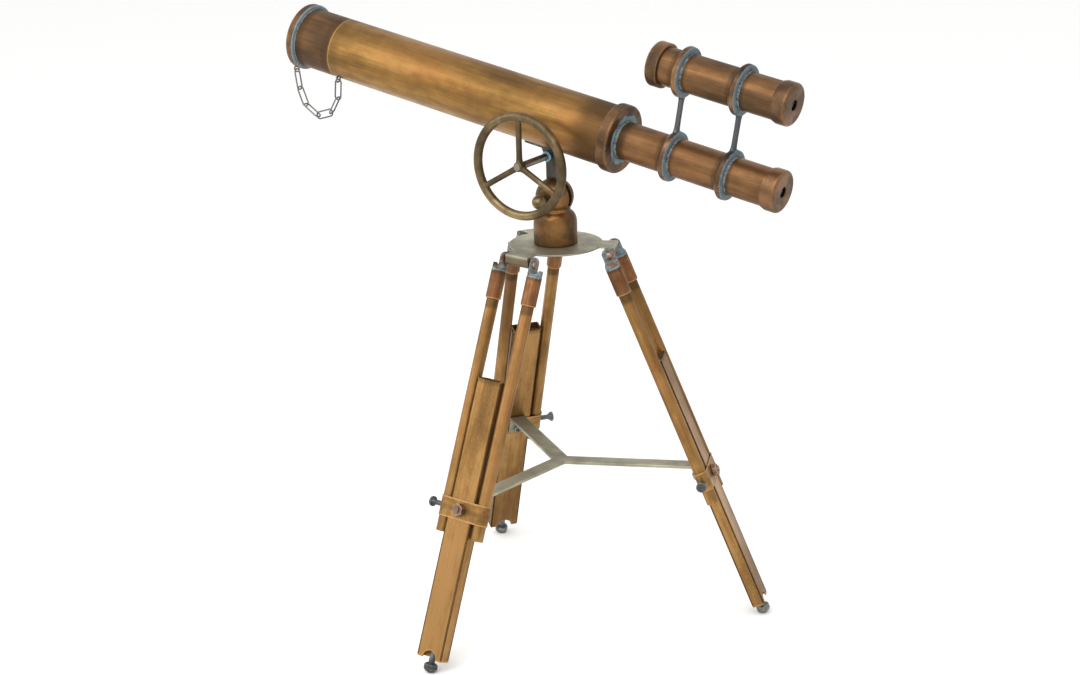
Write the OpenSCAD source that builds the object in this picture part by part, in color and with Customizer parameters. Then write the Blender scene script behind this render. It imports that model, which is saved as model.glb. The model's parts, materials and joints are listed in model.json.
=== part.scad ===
// Decorative telescope on an adjustable tripod.
// Millimetres, +Z up.  The origin is where the tripod's axis meets the floor, and the telescope lies
// over the X axis: its objective end points to -X and its eyepiece end to +X.

/* [Telescope] */
// Height of the telescope's axis above the floor, measured over the tripod's axis
tube_z = 498.1; // [480:0.1:540]
// Angle by which the eyepiece end hangs below the objective end
tube_pitch = 10.4; // [0:0.1:20]
// Outer radius of the main tube
tube_r = 29.4; // [24:0.1:34]
// Wall of the main tube
tube_wall = 1.5; // [1:0.1:2.5]
// Length of the main tube ahead of the tripod's axis
tube_front = 248.1; // [200:1:300]
// Length of the main tube behind the tripod's axis
tube_back = 77.9; // [60:1:95]
// Length of the objective cell that shows between the main tube and the cap
cell_len = 42.6; // [34:0.1:48]
// Outer radius of the objective cap
cap_r = 32.8; // [31.5:0.1:38]
// Height of the objective cap
cap_len = 8.4; // [8:0.1:12]
// Outer radius of the rear collar
collar_r = 32.6; // [31:0.1:38]
// Length of the rear collar
collar_len = 11.3; // [8:0.1:16]

/* [Draw tube] */
// Outer radius of the draw tube and of the finder's tube
draw_r = 18; // [15:0.1:20]
// Wall of the draw tube and of the finder's tube
draw_wall = 1.2; // [0.8:0.1:2]
// Distance from the tripod's axis to the eyepiece's end face
draw_end = 249; // [225:1:300]
// Length of draw tube that is hidden inside the main tube
draw_inside = 57.9; // [50:0.1:70]
// Length of each eyepiece cap
eyecap_len = 14.6; // [13.5:0.1:20]
// Outer radius of each eyepiece cap
eyecap_r = 20; // [19.6:0.1:23]
// Radius of the sight hole in each eyepiece cap
sight_hole_r = 4.75; // [3:0.05:6]

/* [Finder] */
// Height of the finder's axis above the telescope's axis
finder_h = 80.5; // [72:0.5:90]
// Distance from the tripod's axis to the finder's front face
finder_front = 101; // [96:0.1:110]
// Distance from the tripod's axis to the finder's eyepiece end face
finder_end = 245; // [230:1:260]
// Outer radius of the finder's bezel
bezel_r = 21; // [20:0.1:25]
// Length of the finder's bezel
bezel_len = 12.4; // [8:0.1:16]
// Distance from the tripod's axis to the front bracket
bracket_front_t = 129.5; // [120:0.5:140]
// Distance from the tripod's axis to the rear bracket
bracket_rear_t = 189.5; // [178:0.5:205]
// Outer radius of the bracket rings
bracket_r = 24; // [21:0.1:26]
// Width of the bracket rings along the tube
bracket_w = 7; // [5:0.1:10]

/* [Head] */
// Radius of the head's base
post_r = 21; // [18:0.1:26]
// Height from the plate to the tilt axis
tilt_h = 45.8; // [42:0.1:52]
// Radius of the ball at the top of the head
ball_r = 18.4; // [17:0.1:20]
// Radius of the neck under the ball
neck_r = 15; // [12:0.1:16]
// Thickness of the strap that carries the telescope
strap_t = 4; // [3:0.1:6]
// Width of the strap
strap_w = 12; // [10:0.1:14]
// Radius of the tilt screw
tilt_screw_r = 3; // [2.5:0.1:4]
// Radius of the ball knob on the tilt screw
knob_r = 6.8; // [5:0.1:8]

/* [Hand wheel] */
// Radius of the rim's centre line
wheel_r = 47.2; // [40:0.1:50]
// Radius of the rim's round bar
rim_r = 4.3; // [3:0.1:5]
// Radius of the spokes
spoke_r = 2.9; // [2:0.1:3.5]
// Distance of the wheel from the telescope's axis plane
wheel_out = 50; // [46:1:60]
// Radius of the wheel's shaft
shaft_r = 3.4; // [3:0.1:4.5]

/* [Tripod] */
// Height of the plate's top face
plate_z = 375.2; // [340:0.1:420]
// Radius of the plate
plate_r = 45; // [40:0.5:47]
// Thickness of the plate
plate_t = 1.8; // [1.5:0.1:3]
// Radius of the circle that the feet stand on
stance_r = 198; // [180:0.1:240]
// Direction of the first leg, the one that points to the telescope's eyepiece side
leg_turn = 23.4; // [0:0.1:60]
// Distance of the leg hinges from the tripod's axis
hinge_r = 54; // [53:0.1:58]
// Half the distance between a leg's rods at the hinge
rod_spread_top = 21.8; // [21.6:0.1:27]
// Half the distance between a leg's rods at their lower ends
rod_spread_low = 22; // [22:0.1:23.5]
// Radius of a rod
rod_r = 6; // [5:0.1:6.2]
// Distance from the hinge to a rod's lower end
rod_end = 264.5; // [256:0.5:280]
// Radius of the ferrule at the top of a rod
ferrule_r = 7.4; // [7:0.1:7.4]
// Length of the ferrule
ferrule_len = 30.5; // [20:0.5:45]

/* [Sliding legs] */
// Width of the sliding plank
plank_w = 30; // [24:0.5:30]
// Thickness of the sliding plank
plank_t = 12; // [10:0.1:12]
// Wall of the sliding plank
plank_wall = 1.4; // [1:0.1:2]
// Distance from the hinge to the plank's top end
plank_top = 113.5; // [100:0.5:130]
// Distance from the floor's end of the leg to the plank's lower end
plank_rise = 5; // [4:0.1:10]
// Radius of a foot
foot_r = 6.5; // [5:0.1:7]

/* [Clamps and spreader] */
// Distance from the hinge to the middle of the clamp band
band_s = 240; // [225:1:250]
// Height of the clamp band
band_h = 19.5; // [16:0.5:26]
// Wall of the clamp band
band_wall = 1.2; // [0.8:0.1:2]
// Radius of the clamp's thumb screw
thumb_r = 2.5; // [2:0.1:3]
// Width of the spreader's arms
arm_w = 16; // [10:0.5:18]
// Thickness of the spreader
arm_t = 3; // [1.5:0.1:4]

/* [Chain] */
// Radius of the chain's wire
wire_r = 0.8; // [0.7:0.05:0.9]
// Outer width of a link
link_w = 8.6; // [8:0.1:9.5]

/* [Hidden] */
$fn = 64;

// Clearances, each written once
run_gap = 0.05;      // radial, a shaft in its own bore
slide_gap = 0.08;    // radial, the draw tube in its bush
cap_gap = 0.1;       // radial, the cap on the objective cell
plank_gap = 0.15;    // each face, the plank in the clamp band
slot_gap = 0.3;      // each face, the strap in the head's slot
clear_gap = 0.3;     // what passes without touching
eps = 0.01;          // how far a cut runs past a face

// Finishes
copper = "#a5713a";
bronze = "#8a6a3a";
verdigris = "#7fb0b8";
olive = "#8f8f7a";
dark_steel = "#5c6163";
glass = "#bcd4dc";

// Telescope
cell_wall = 3.1;
cell_front = tube_front + cell_len + cap_len - 3.2;
spigot_len = 10;
spigot_r = tube_r - tube_wall;
lens_seat_t = -(tube_front + 19.9);
lens_r = tube_r - cell_wall;
lens_edge = 6;
lens_ring_len = 4;
cap_front = tube_front + cell_len + cap_len;
cap_face = 3.1;
cap_round = 2.4;
bush_len = 32.5;
bush_wall = 1.5;
bush_flange = 3;
stop_len = 4;
collar_face = 2.1;
collar_round = 2.2;

// Eyepieces
eye_face = 3;
eye_lens_r = 12;
eye_lens_len = 3.6;
eye_seat = eye_face + eye_lens_len + 0.4;
eye_neck = 2.6;
eye_step = 0.9;
eye_round = 3;
bezel_lip = 2;
bezel_hole_r = draw_r - 2.5;
finder_lens_len = 3.7;
strut_w = 5.6;
strut_y = 5;

// Head
post_h = 20;
shoulder_w = 7;
shoulder_h = 12;
slot_depth = 8;
spot_y = 16.5;
spot_r = 9;
nut_r = 6.5;
nut_len = 5;
knob_y = 27;
knob_neck_r = 4.2;
tilt_z = plate_z + tilt_h;
swivel_r = 4;
swivel_depth = 20;
swivel_head_r = 7.2;
swivel_head_h = 5;
washer_r = 9;
washer_t = 1.2;

// Bracket and wheel
strap_x = -2;
strap_foot_r = strap_w / 2;
shaft_x = -5;
shaft_z = tube_z - 38.1;
saddle_z = shaft_z - 2;
pad_t = 1.9;
pad_x0 = -22;
pad_x1 = 6;
pad_y = 9;
hub_r = 4.8;
hub_len = 8;
journal_r = 2.5;
peen_len = 0.9;
weld_r = 5.6;

// Tripod
hinge_z = plate_z - 6.7;
hinge_pin_r = 2.5;
barrel_r = 4.5;
barrel_half = rod_spread_top - ferrule_r - 0.4;
tab_reach = hinge_r + barrel_r;
tab_half = barrel_half - 0.3;
tab_cut_r = 4;
tab_neck = 12;
lug_foot = 10;
lug_r = ferrule_r - 0.1;
lug_wall = 4.6;
scoop_z = 4.3;
scoop_r = 4.5;
bolt_head_r = 3.8;
bolt_head_h = 2.4;
foot_ball_r = 8;
foot_flat_r = 2.5;
foot_ball_z = foot_ball_r - pow(foot_flat_r, 2) / (2 * foot_ball_r);
splay = atan((stance_r - hinge_r) / (hinge_z - foot_ball_z));
leg_len = (hinge_z - foot_ball_z) / cos(splay);
rod_lean = atan((rod_spread_top - rod_spread_low) / rod_end);
rod_wall = 1.3;
foot_top = leg_len + 1;
foot_stem_r = 3;
foot_stem_len = 17;
plank_low = leg_len - plank_rise;
plank_notch_r = 8;
plank_end_t = 3;
plank_end_s = foot_top - foot_stem_len;
band_spread = rod_spread_top - band_s * tan(rod_lean);
band_r = rod_r + band_wall;
band_face = plank_t / 2 + plank_gap;
thumb_tip = plank_w / 2 + clear_gap;
thumb_head_y = 39.5;
thumb_head_r = 5;
thumb_head_h = 2.6;
nut_af_r = 6.4;
nut_h = 5;
stud_r = 3;
stud_out = 1.6;
arm_rise = 12.4;
arm_s = band_s - arm_rise;
arm_z = hinge_z - band_r * sin(splay) - arm_s * cos(splay) - arm_t / 2;
arm_bolt_r = 2.5;
arm_bolt_head_r = 4.2;
arm_bolt_head_h = 3;
tab_len = 18;
tab_edge = 0.6;

// Chain
bend_steps = 6;
wire_sides = 8;
eye_r = 2.9;
chain_y = -16;
cap_eye_t = -(cap_front - 4.4);
cap_eye_h = -(sqrt(pow(cap_r, 2) - pow(chain_y, 2)) + 2.2);
tube_eye_t = -(tube_front - 6);
tube_eye_h = -(sqrt(pow(tube_r, 2) - pow(chain_y, 2)) + 2.6);
eye_hang = 1.5;
link_slack = 1.2;
link_fall = [-84, -70, -36, 14, 56, 82];
chain_from = [world_x(cap_eye_t, cap_eye_h), world_z(cap_eye_t, cap_eye_h) - eye_hang];
chain_to = [world_x(tube_eye_t, tube_eye_h), world_z(tube_eye_t, tube_eye_h) - eye_hang];
chain_span = chain_to - chain_from;
fall_sum = [add([for (a = link_fall) cos(a)]), add([for (a = link_fall) sin(a)])];
link_pitch = norm(chain_span) / norm(fall_sum);
link_turn = atan2(chain_span[1], chain_span[0]) - atan2(fall_sum[1], fall_sum[0]);
link_way = [for (a = link_fall) link_pitch * [cos(a + link_turn), sin(a + link_turn)]];
link_straight = link_pitch + link_slack + 4 * wire_r - link_w;

function add(v, i = 0) = i < len(v) ? v[i] + add(v, i + 1) : 0;
function joint_at(i) = i > 0 ? joint_at(i - 1) + link_way[i - 1] : chain_from;
function world_x(t, h) = t * cos(tube_pitch) + h * sin(tube_pitch);
function world_z(t, h) = tube_z - t * sin(tube_pitch) + h * cos(tube_pitch);
function turned(a, r, t) = [r * cos(a) - t * sin(a), r * sin(a) + t * cos(a)];
function leg_az(k) = leg_turn + 120 * (k - 1);

// Frames: along the telescope, along a leg, and along one of its two rods
module tube_frame(t = 0, h = 0) {
    translate([0, 0, tube_z]) rotate([0, tube_pitch, 0]) translate([t, 0, h]) children();
}

module spin(t = 0, h = 0) {
    tube_frame(t, h) rotate([0, 90, 0]) children();
}

module leg_frame(k) {
    rotate([0, 0, leg_az(k)]) translate([hinge_r, 0, hinge_z]) rotate([0, -splay, 0]) children();
}

module rod_frame(side) {
    translate([0, side * rod_spread_top, 0]) rotate([-side * rod_lean, 0, 0]) children();
}

// A round bar or hole along Y, from y0 to y1
module bar_y(r, y0, y1) {
    translate([0, y0, 0]) rotate([-90, 0, 0]) cylinder(r = r, h = y1 - y0);
}

// A round bar or hole along X, from x0 to x1
module bar_x(r, x0, x1) {
    translate([x0, 0, 0]) rotate([0, 90, 0]) cylinder(r = r, h = x1 - x0);
}

// A straight sleeve along Z
module sleeve(outer, inner, len) {
    difference() {
        cylinder(r = outer, h = len, $fn = 96);
        translate([0, 0, -eps]) cylinder(r = inner, h = len + 2 * eps, $fn = 96);
    }
}

// A disc or band with its outer edge rounded at both ends, for turning
module rounded_profile(r, len, low, high) {
    square([r - max(low, high), len]);
    translate([0, low]) square([r, len - low - high]);
    translate([r - low, low]) circle(low);
    translate([r - high, len - high]) circle(high);
    square([r - low, len - high]);
    translate([0, low]) square([r - high, len - low]);
}

// Hexagonal bar along Z
module hex(r, len) {
    cylinder(r = r, h = len, $fn = 6);
}

// ---- Tripod ----

module plate_tab() {
    difference() {
        translate([plate_r - 6, -tab_half, -plate_t])
            cube([tab_reach - plate_r + 6, 2 * tab_half, plate_t]);
        for (side = [-1, 1])
            translate([plate_r + 3, side * (tab_neck + tab_cut_r), -plate_t - eps])
                cylinder(r = tab_cut_r, h = plate_t + 2 * eps);
        for (side = [-1, 1])
            translate([plate_r - 10, side * (tab_neck + tab_cut_r) - tab_cut_r, -plate_t - eps])
                cube([13, 2 * tab_cut_r, plate_t + 2 * eps]);
    }
}

module hinge_barrel() {
    difference() {
        union() {
            bar_y(barrel_r, -barrel_half, barrel_half);
            translate([barrel_r - plate_t, -tab_half, 0])
                cube([plate_t, 2 * tab_half, plate_z - plate_t / 2 - hinge_z]);
        }
        bar_y(hinge_pin_r + run_gap, -barrel_half - eps, barrel_half + eps);
    }
}

module top_plate() {
    color(olive) difference() {
        union() {
            translate([0, 0, plate_z - plate_t]) cylinder(r = plate_r, h = plate_t, $fn = 128);
            for (k = [1:3]) rotate([0, 0, leg_az(k)]) {
                translate([0, 0, plate_z]) plate_tab();
                translate([hinge_r, 0, hinge_z]) hinge_barrel();
            }
        }
        translate([0, 0, plate_z - plate_t - eps])
            cylinder(r = swivel_r + run_gap, h = plate_t + 2 * eps);
    }
}

module hinge_bolts() {
    head_y = rod_spread_top - lug_r + lug_wall + clear_gap / 3;
    color(bronze) for (k = [1:3]) leg_frame(k) {
        bar_y(hinge_pin_r, -head_y, head_y);
        for (side = [-1, 1]) translate([0, side * head_y, 0]) rotate([-90 * side, 0, 0])
            intersection() {
                cylinder(r = bolt_head_r, h = bolt_head_h);
                translate([0, 0, -2]) sphere(bolt_head_h + 2);
            }
    }
}

// A lug: the rod's round end, cut away on its outer side to a flat tongue round the hinge bolt, with a
// scoop under the bolt's head
module lug(side) {
    wall_y = side * (lug_wall - lug_r);
    difference() {
        intersection() {
            translate([0, 0, -lug_foot]) cylinder(r = lug_r, h = lug_foot + lug_r);
            union() {
                bar_y(lug_r, -lug_r - eps, lug_r + eps);
                translate([-lug_r, -lug_r, -lug_foot]) cube([2 * lug_r, 2 * lug_r, lug_foot]);
            }
        }
        translate([-lug_r - eps, wall_y + (side > 0 ? 0 : -2 * lug_r), -scoop_z])
            cube([2 * lug_r + 2 * eps, 2 * lug_r, lug_r + scoop_z + 1]);
        translate([0, wall_y + side * scoop_r, -scoop_z]) bar_x(scoop_r, -lug_r - eps, lug_r + eps);
        bar_y(hinge_pin_r + run_gap, -lug_r - eps, lug_r + eps);
    }
}

module leg_lugs(k) {
    color(verdigris) leg_frame(k) for (side = [-1, 1]) rod_frame(side) lug(side);
}

module leg_ferrules(k) {
    color(copper) leg_frame(k) for (side = [-1, 1]) rod_frame(side)
        translate([0, 0, -lug_foot - ferrule_len + 1.5]) sleeve(ferrule_r, rod_r, ferrule_len - 1.5);
}

module leg_rods(k) {
    color(copper) leg_frame(k) for (side = [-1, 1]) difference() {
        rod_frame(side) translate([0, 0, -rod_end])
            sleeve(rod_r, rod_r - rod_wall, rod_end - lug_foot);
        if (side < 0) translate([0, 0, -band_s])
            bar_y(thumb_r + run_gap, -band_spread - 2 * rod_r, -band_spread + 2 * rod_r);
    }
}

module clamp_band(k) {
    color(copper) leg_frame(k) difference() {
        translate([0, 0, -band_s - band_h / 2]) {
            for (side = [-1, 1]) translate([0, side * band_spread, 0])
                cylinder(r = band_r, h = band_h);
            translate([-band_r, -band_spread, 0]) cube([2 * band_r, 2 * band_spread, band_h]);
        }
        translate([-band_face, -band_spread, -band_s - band_h / 2 - eps])
            cube([2 * band_face, 2 * band_spread, band_h + 2 * eps]);
        for (side = [-1, 1]) rod_frame(side) translate([0, 0, -band_s - band_h])
            cylinder(r = rod_r, h = 2 * band_h);
        translate([0, 0, -band_s]) bar_y(thumb_r + run_gap, -band_spread - 2 * rod_r, -band_spread);
        translate([0, 0, -band_s]) bar_x(stud_r, 0, 2 * band_r);
        translate([0, 0, -band_s]) bar_x(arm_bolt_r, -2 * band_r, 0);
    }
}

// A short stud in the band's outer face, with its hexagonal nut
module clamp_nuts() {
    color(bronze) for (k = [1:3]) leg_frame(k) translate([0, 0, -band_s]) {
        bar_x(stud_r, band_face, band_r + nut_h + stud_out);
        translate([band_r, 0, 0]) rotate([0, 90, 0]) hex(nut_af_r, nut_h);
    }
}

module thumb_screw(k) {
    color(dark_steel) leg_frame(k) translate([0, 0, -band_s]) {
        bar_y(thumb_r, -thumb_head_y, -thumb_tip);
        translate([0, -thumb_head_y, 0]) rotate([90, 0, 0]) cylinder(r = thumb_head_r, h = thumb_head_h);
        translate([0, -thumb_head_y + 3, 0]) rotate([90, 0, 0])
            cylinder(r1 = thumb_r, r2 = thumb_head_r - 0.6, h = 3);
    }
}

module sliding_plank(k) {
    hollow_w = plank_w - 2 * plank_wall;
    hollow_t = plank_t - 2 * plank_wall;
    color(copper) leg_frame(k) difference() {
        translate([-plank_t / 2, -plank_w / 2, -plank_low]) cube([plank_t, plank_w, plank_low - plank_top]);
        translate([-hollow_t / 2, -hollow_w / 2, -plank_end_s])
            cube([hollow_t, hollow_w, plank_end_s]);
        translate([-hollow_t / 2, -hollow_w / 2, -plank_low - eps])
            cube([hollow_t, hollow_w, plank_low - plank_end_s - plank_end_t]);
        translate([0, 0, -plank_low]) bar_x(plank_notch_r, -plank_t, plank_t);
        translate([0, 0, -leg_len]) cylinder(r = foot_stem_r, h = leg_len - plank_end_s + 1);
    }
}

module foot(k) {
    color(dark_steel) intersection() {
        leg_frame(k) {
            translate([0, 0, -foot_top]) cylinder(r = foot_stem_r, h = foot_stem_len);
            intersection() {
                translate([0, 0, -foot_top - 2 * foot_ball_r]) cylinder(r = foot_r, h = 2 * foot_ball_r);
                translate([0, 0, -leg_len]) sphere(foot_ball_r);
            }
        }
        translate([-2 * stance_r, -2 * stance_r, 0]) cube([4 * stance_r, 4 * stance_r, plate_z]);
    }
}

module spreader() {
    arm_end = hinge_r + arm_s * sin(splay) - (band_r + arm_t / 2) * cos(splay);
    half = arm_w / 2;
    outline = [for (k = [1:3]) each [
        turned(leg_az(k), arm_end, -half), turned(leg_az(k), arm_end, half),
        turned(leg_az(k) + 60, half / sin(60), 0)
    ]];
    color(olive) union() {
        translate([0, 0, arm_z - arm_t / 2]) linear_extrude(arm_t) polygon(outline);
        for (k = [1:3]) leg_frame(k) difference() {
            translate([-band_r - arm_t, -half - tab_edge, -arm_s - tab_len])
                cube([arm_t, arm_w + 2 * tab_edge, tab_len + tab_edge]);
            translate([0, 0, -band_s]) bar_x(arm_bolt_r, -2 * band_r, 0);
        }
    }
}

module spreader_bolts() {
    color(dark_steel) for (k = [1:3]) leg_frame(k) translate([0, 0, -band_s]) {
        bar_x(arm_bolt_r, -band_r - arm_t, -band_face);
        translate([-band_r - arm_t - arm_bolt_head_h, 0, 0]) rotate([0, 90, 0])
            hex(arm_bolt_head_r, arm_bolt_head_h);
    }
}

// ---- Head ----

module head_post() {
    color(copper) difference() {
        translate([0, 0, plate_z]) union() {
            rotate_extrude($fn = 96) {
                square([post_r, post_h]);
                translate([post_r - shoulder_w, post_h]) intersection() {
                    scale([1, shoulder_h / shoulder_w]) circle(shoulder_w);
                    square([shoulder_w, shoulder_h]);
                }
                square([post_r - shoulder_w, post_h + shoulder_h]);
                square([neck_r, tilt_h]);
            }
            translate([0, 0, tilt_h]) sphere(ball_r, $fn = 96);
        }
        translate([-ball_r * 2, -strap_t / 2 - slot_gap, tilt_z - slot_depth])
            cube([ball_r * 4, strap_t + 2 * slot_gap, 2 * ball_r]);
        translate([0, 0, tilt_z]) {
            bar_y(tilt_screw_r + run_gap, -2 * ball_r, 2 * ball_r);
            bar_y(spot_r, spot_y, 2 * ball_r);
            bar_y(spot_r, -2 * ball_r, -spot_y);
        }
        translate([0, 0, plate_z - eps]) cylinder(r = swivel_r, h = swivel_depth + 1);
    }
}

module swivel_bolt() {
    under = plate_z - plate_t - washer_t;
    color(dark_steel) {
        translate([0, 0, under]) cylinder(r = swivel_r, h = plate_t + washer_t + swivel_depth);
        translate([0, 0, under - swivel_head_h]) hex(swivel_head_r, swivel_head_h);
    }
}

module swivel_washer() {
    color(dark_steel) translate([0, 0, plate_z - plate_t - washer_t])
        sleeve(washer_r, swivel_r, washer_t);
}

module tilt_screw() {
    color(bronze) translate([0, 0, tilt_z]) {
        bar_y(tilt_screw_r, -knob_y, spot_y + nut_len - 0.5);
        bar_y(knob_neck_r, -knob_y + knob_r - 2, -spot_y);
        translate([0, -knob_y, 0]) sphere(knob_r);
    }
}

module tilt_nut() {
    color(dark_steel) translate([0, 0, tilt_z]) difference() {
        translate([0, spot_y, 0]) rotate([-90, 0, 0]) hex(nut_r, nut_len);
        bar_y(tilt_screw_r + run_gap, spot_y - eps, spot_y + nut_len + eps);
    }
}

// ---- Telescope ----

module tube_bracket() {
    color(copper) difference() {
        union() {
            difference() {
                union() {
                    translate([strap_x - strap_w / 2, -strap_t / 2, tilt_z])
                        cube([strap_w, strap_t, saddle_z - tilt_z]);
                    translate([0, 0, tilt_z]) bar_y(strap_foot_r, -strap_t / 2, strap_t / 2);
                    translate([0, strap_t / 2, 0]) rotate([90, 0, 0]) linear_extrude(strap_t)
                        polygon([
                            [strap_x - strap_w / 2, saddle_z - 1], [strap_x + strap_w / 2, saddle_z - 1],
                            [strap_x + strap_w / 2 + 3, saddle_z + 10], [strap_x + strap_w / 2, tube_z],
                            [strap_x - strap_w / 2, tube_z], [strap_x - strap_w / 2 - 7, saddle_z + 14]
                        ]);
                }
                spin(-tube_front) cylinder(r = tube_r, h = tube_front + tube_back, $fn = 96);
            }
            tube_frame() intersection() {
                difference() {
                    bar_x(tube_r + pad_t, pad_x0, pad_x1, $fn = 96);
                    bar_x(tube_r, pad_x0 - eps, pad_x1 + eps, $fn = 96);
                }
                translate([pad_x0, -pad_y, -2 * tube_r]) cube([pad_x1 - pad_x0, 2 * pad_y, 2 * tube_r]);
            }
        }
        translate([0, 0, tilt_z]) bar_y(tilt_screw_r + run_gap, -strap_t, strap_t);
    }
}

module wheel_shaft() {
    hub_back = -wheel_out + hub_len / 2;
    color(dark_steel) translate([shaft_x, 0, shaft_z]) {
        bar_y(shaft_r, hub_back + 0.1, -strap_t / 2);
        bar_y(weld_r, -strap_t / 2 - 5, -strap_t / 2);
        bar_y(journal_r, hub_back - hub_len - 0.2, hub_back + 1);
        bar_y(shaft_r, hub_back - hub_len - 0.1 - peen_len, hub_back - hub_len - 0.1);
    }
}

module hand_wheel() {
    color(bronze) translate([shaft_x, -wheel_out, shaft_z]) difference() {
        union() {
            rotate([90, 0, 0]) rotate_extrude($fn = 128) translate([wheel_r, 0]) circle(rim_r, $fn = 32);
            for (a = [0, 120, 240]) rotate([0, a, 0]) cylinder(r = spoke_r, h = wheel_r, $fn = 32);
            bar_y(hub_r, -hub_len / 2, hub_len / 2);
        }
        bar_y(journal_r + run_gap, -hub_len, hub_len);
    }
}

module main_tube() {
    color(copper) spin(-tube_front) sleeve(tube_r, tube_r - tube_wall, tube_front + tube_back);
}

module rear_collar() {
    color(bronze) spin(tube_back + collar_face - collar_len) difference() {
        rotate_extrude($fn = 96) rounded_profile(collar_r, collar_len, collar_round, collar_round);
        translate([0, 0, -eps]) cylinder(r = tube_r, h = collar_len - collar_face + eps, $fn = 96);
        cylinder(r = draw_r + clear_gap, h = 2 * collar_len, $fn = 96);
    }
}

// A thin sleeve that guides the draw tube, held in the main tube by a flange at each end
module guide_bush() {
    color(bronze) spin(tube_back - bush_len) {
        sleeve(draw_r + slide_gap + bush_wall, draw_r + slide_gap, bush_len);
        for (t = [0, bush_len - bush_flange]) translate([0, 0, t])
            sleeve(tube_r - tube_wall, draw_r + slide_gap, bush_flange);
    }
}

module objective_cell() {
    color(copper) difference() {
        union() {
            spin(-cell_front) cylinder(r = tube_r, h = cell_front - tube_front, $fn = 96);
            spin(-cell_front) cylinder(r = spigot_r, h = cell_front - tube_front + spigot_len, $fn = 96);
        }
        spin(-cell_front - 1) cylinder(r = lens_r, h = cell_front + 1 + lens_seat_t, $fn = 96);
        spin(-cell_front) cylinder(r = lens_r - 1.6, h = cell_front, $fn = 96);
    }
}

// A lens with a convex front, its flat back on the seat
module convex_lens(r, len, crown) {
    ball_r = (r * r + crown * crown) / (2 * crown);
    intersection() {
        cylinder(r = r, h = len);
        translate([0, 0, ball_r]) sphere(ball_r, $fn = 128);
    }
}

module objective_lens() {
    color(glass) spin(lens_seat_t - lens_edge) convex_lens(lens_r, lens_edge, 2.5);
}

module lens_ring() {
    color(bronze) spin(lens_seat_t - lens_edge - lens_ring_len + 1.4)
        sleeve(lens_r, lens_r - 2.5, lens_ring_len);
}

module staple() {
    rotate([90, 0, 0]) rotate_extrude($fn = 32) translate([eye_r, 0]) circle(wire_r, $fn = 16);
}

module objective_cap() {
    color(bronze) union() {
        spin(-cap_front) difference() {
            rotate_extrude($fn = 96) rounded_profile(cap_r, cap_len, cap_round, 1.2);
            translate([0, 0, cap_face]) cylinder(r = tube_r + cap_gap, h = cap_len, $fn = 96);
            translate([0, 0, -eps]) cylinder(r = cap_r - 5, h = 0.8, $fn = 96);
        }
        tube_frame(cap_eye_t, cap_eye_h) translate([0, chain_y, 0]) staple();
    }
}

module chain_staple() {
    color(dark_steel) difference() {
        tube_frame(tube_eye_t, tube_eye_h) translate([0, chain_y, 0]) rotate([0, 0, 90]) staple();
        spin(-tube_front) cylinder(r = tube_r, h = tube_front, $fn = 96);
    }
}

// One link, its length along X, centred on the origin: a round wire bent into a ring with straight sides
module link() {
    bend_r = link_w / 2 - wire_r;
    turns = [for (end = [0, 1], i = [0:bend_steps]) 180 * end - 90 + 180 * i / bend_steps];
    rings = len(turns);
    points = [for (i = [0:rings - 1], j = [0:wire_sides - 1])
        let (a = turns[i], side = i <= bend_steps ? 1 : -1, w = 360 * j / wire_sides)
        let (r = bend_r + wire_r * cos(w))
        [side * link_straight / 2 + r * cos(a), r * sin(a), wire_r * sin(w)]];
    faces = [for (i = [0:rings - 1], j = [0:wire_sides - 1])
        let (a = i * wire_sides + j, b = i * wire_sides + (j + 1) % wire_sides)
        let (c = (a + wire_sides) % (rings * wire_sides), d = (b + wire_sides) % (rings * wire_sides))
        each [[a, b, d], [a, d, c]]];
    polyhedron(points = points, faces = faces);
}

module cap_chain() {
    color(dark_steel) for (i = [0:len(link_fall) - 1]) {
        middle = joint_at(i) + link_way[i] / 2;
        translate([middle[0], chain_y, middle[1]]) rotate([0, -link_fall[i] - link_turn, 0])
            rotate([i % 2 == 0 ? 0 : 90, 0, 0]) link();
    }
}

// ---- Draw tube and finder ----

module eyepiece(face_t, h) {
    spin(face_t - eyecap_len, h) difference() {
        rotate_extrude($fn = 96) {
            square([eyecap_r - eye_step, eyecap_len - eye_round]);
            translate([0, eye_neck]) rounded_profile(eyecap_r, eyecap_len - eye_neck, 1, eye_round);
        }
        translate([0, 0, -eps]) cylinder(r = draw_r, h = eyecap_len - eye_seat + eps, $fn = 96);
        cylinder(r = eye_lens_r, h = eyecap_len - eye_face, $fn = 64);
        cylinder(r = sight_hole_r, h = 2 * eyecap_len);
    }
}

module eye_lens(face_t, h) {
    spin(face_t - eye_face - eye_lens_len, h) convex_lens(eye_lens_r, eye_lens_len, 1.2);
}

module draw_tube() {
    start = tube_back - draw_inside;
    color(copper) spin(start) sleeve(draw_r, draw_r - draw_wall, draw_end - eye_seat - start);
}

module stop_ring() {
    color(bronze) spin(tube_back - draw_inside) sleeve(tube_r - tube_wall - clear_gap, draw_r, stop_len);
}

module eyepiece_cap() {
    color(bronze) eyepiece(draw_end, 0);
}

module eyepiece_lens() {
    color(glass) eye_lens(draw_end, 0);
}

module bracket_ring() {
    bead = (bracket_r - draw_r) / 2;
    rotate_extrude($fn = 96) {
        translate([draw_r, bead]) square([2 * bead - 0.6, bracket_w - bead]);
        translate([draw_r + bead, bead]) circle(bead);
        translate([draw_r, 0.6]) square([bead, bead]);
    }
}

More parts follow.
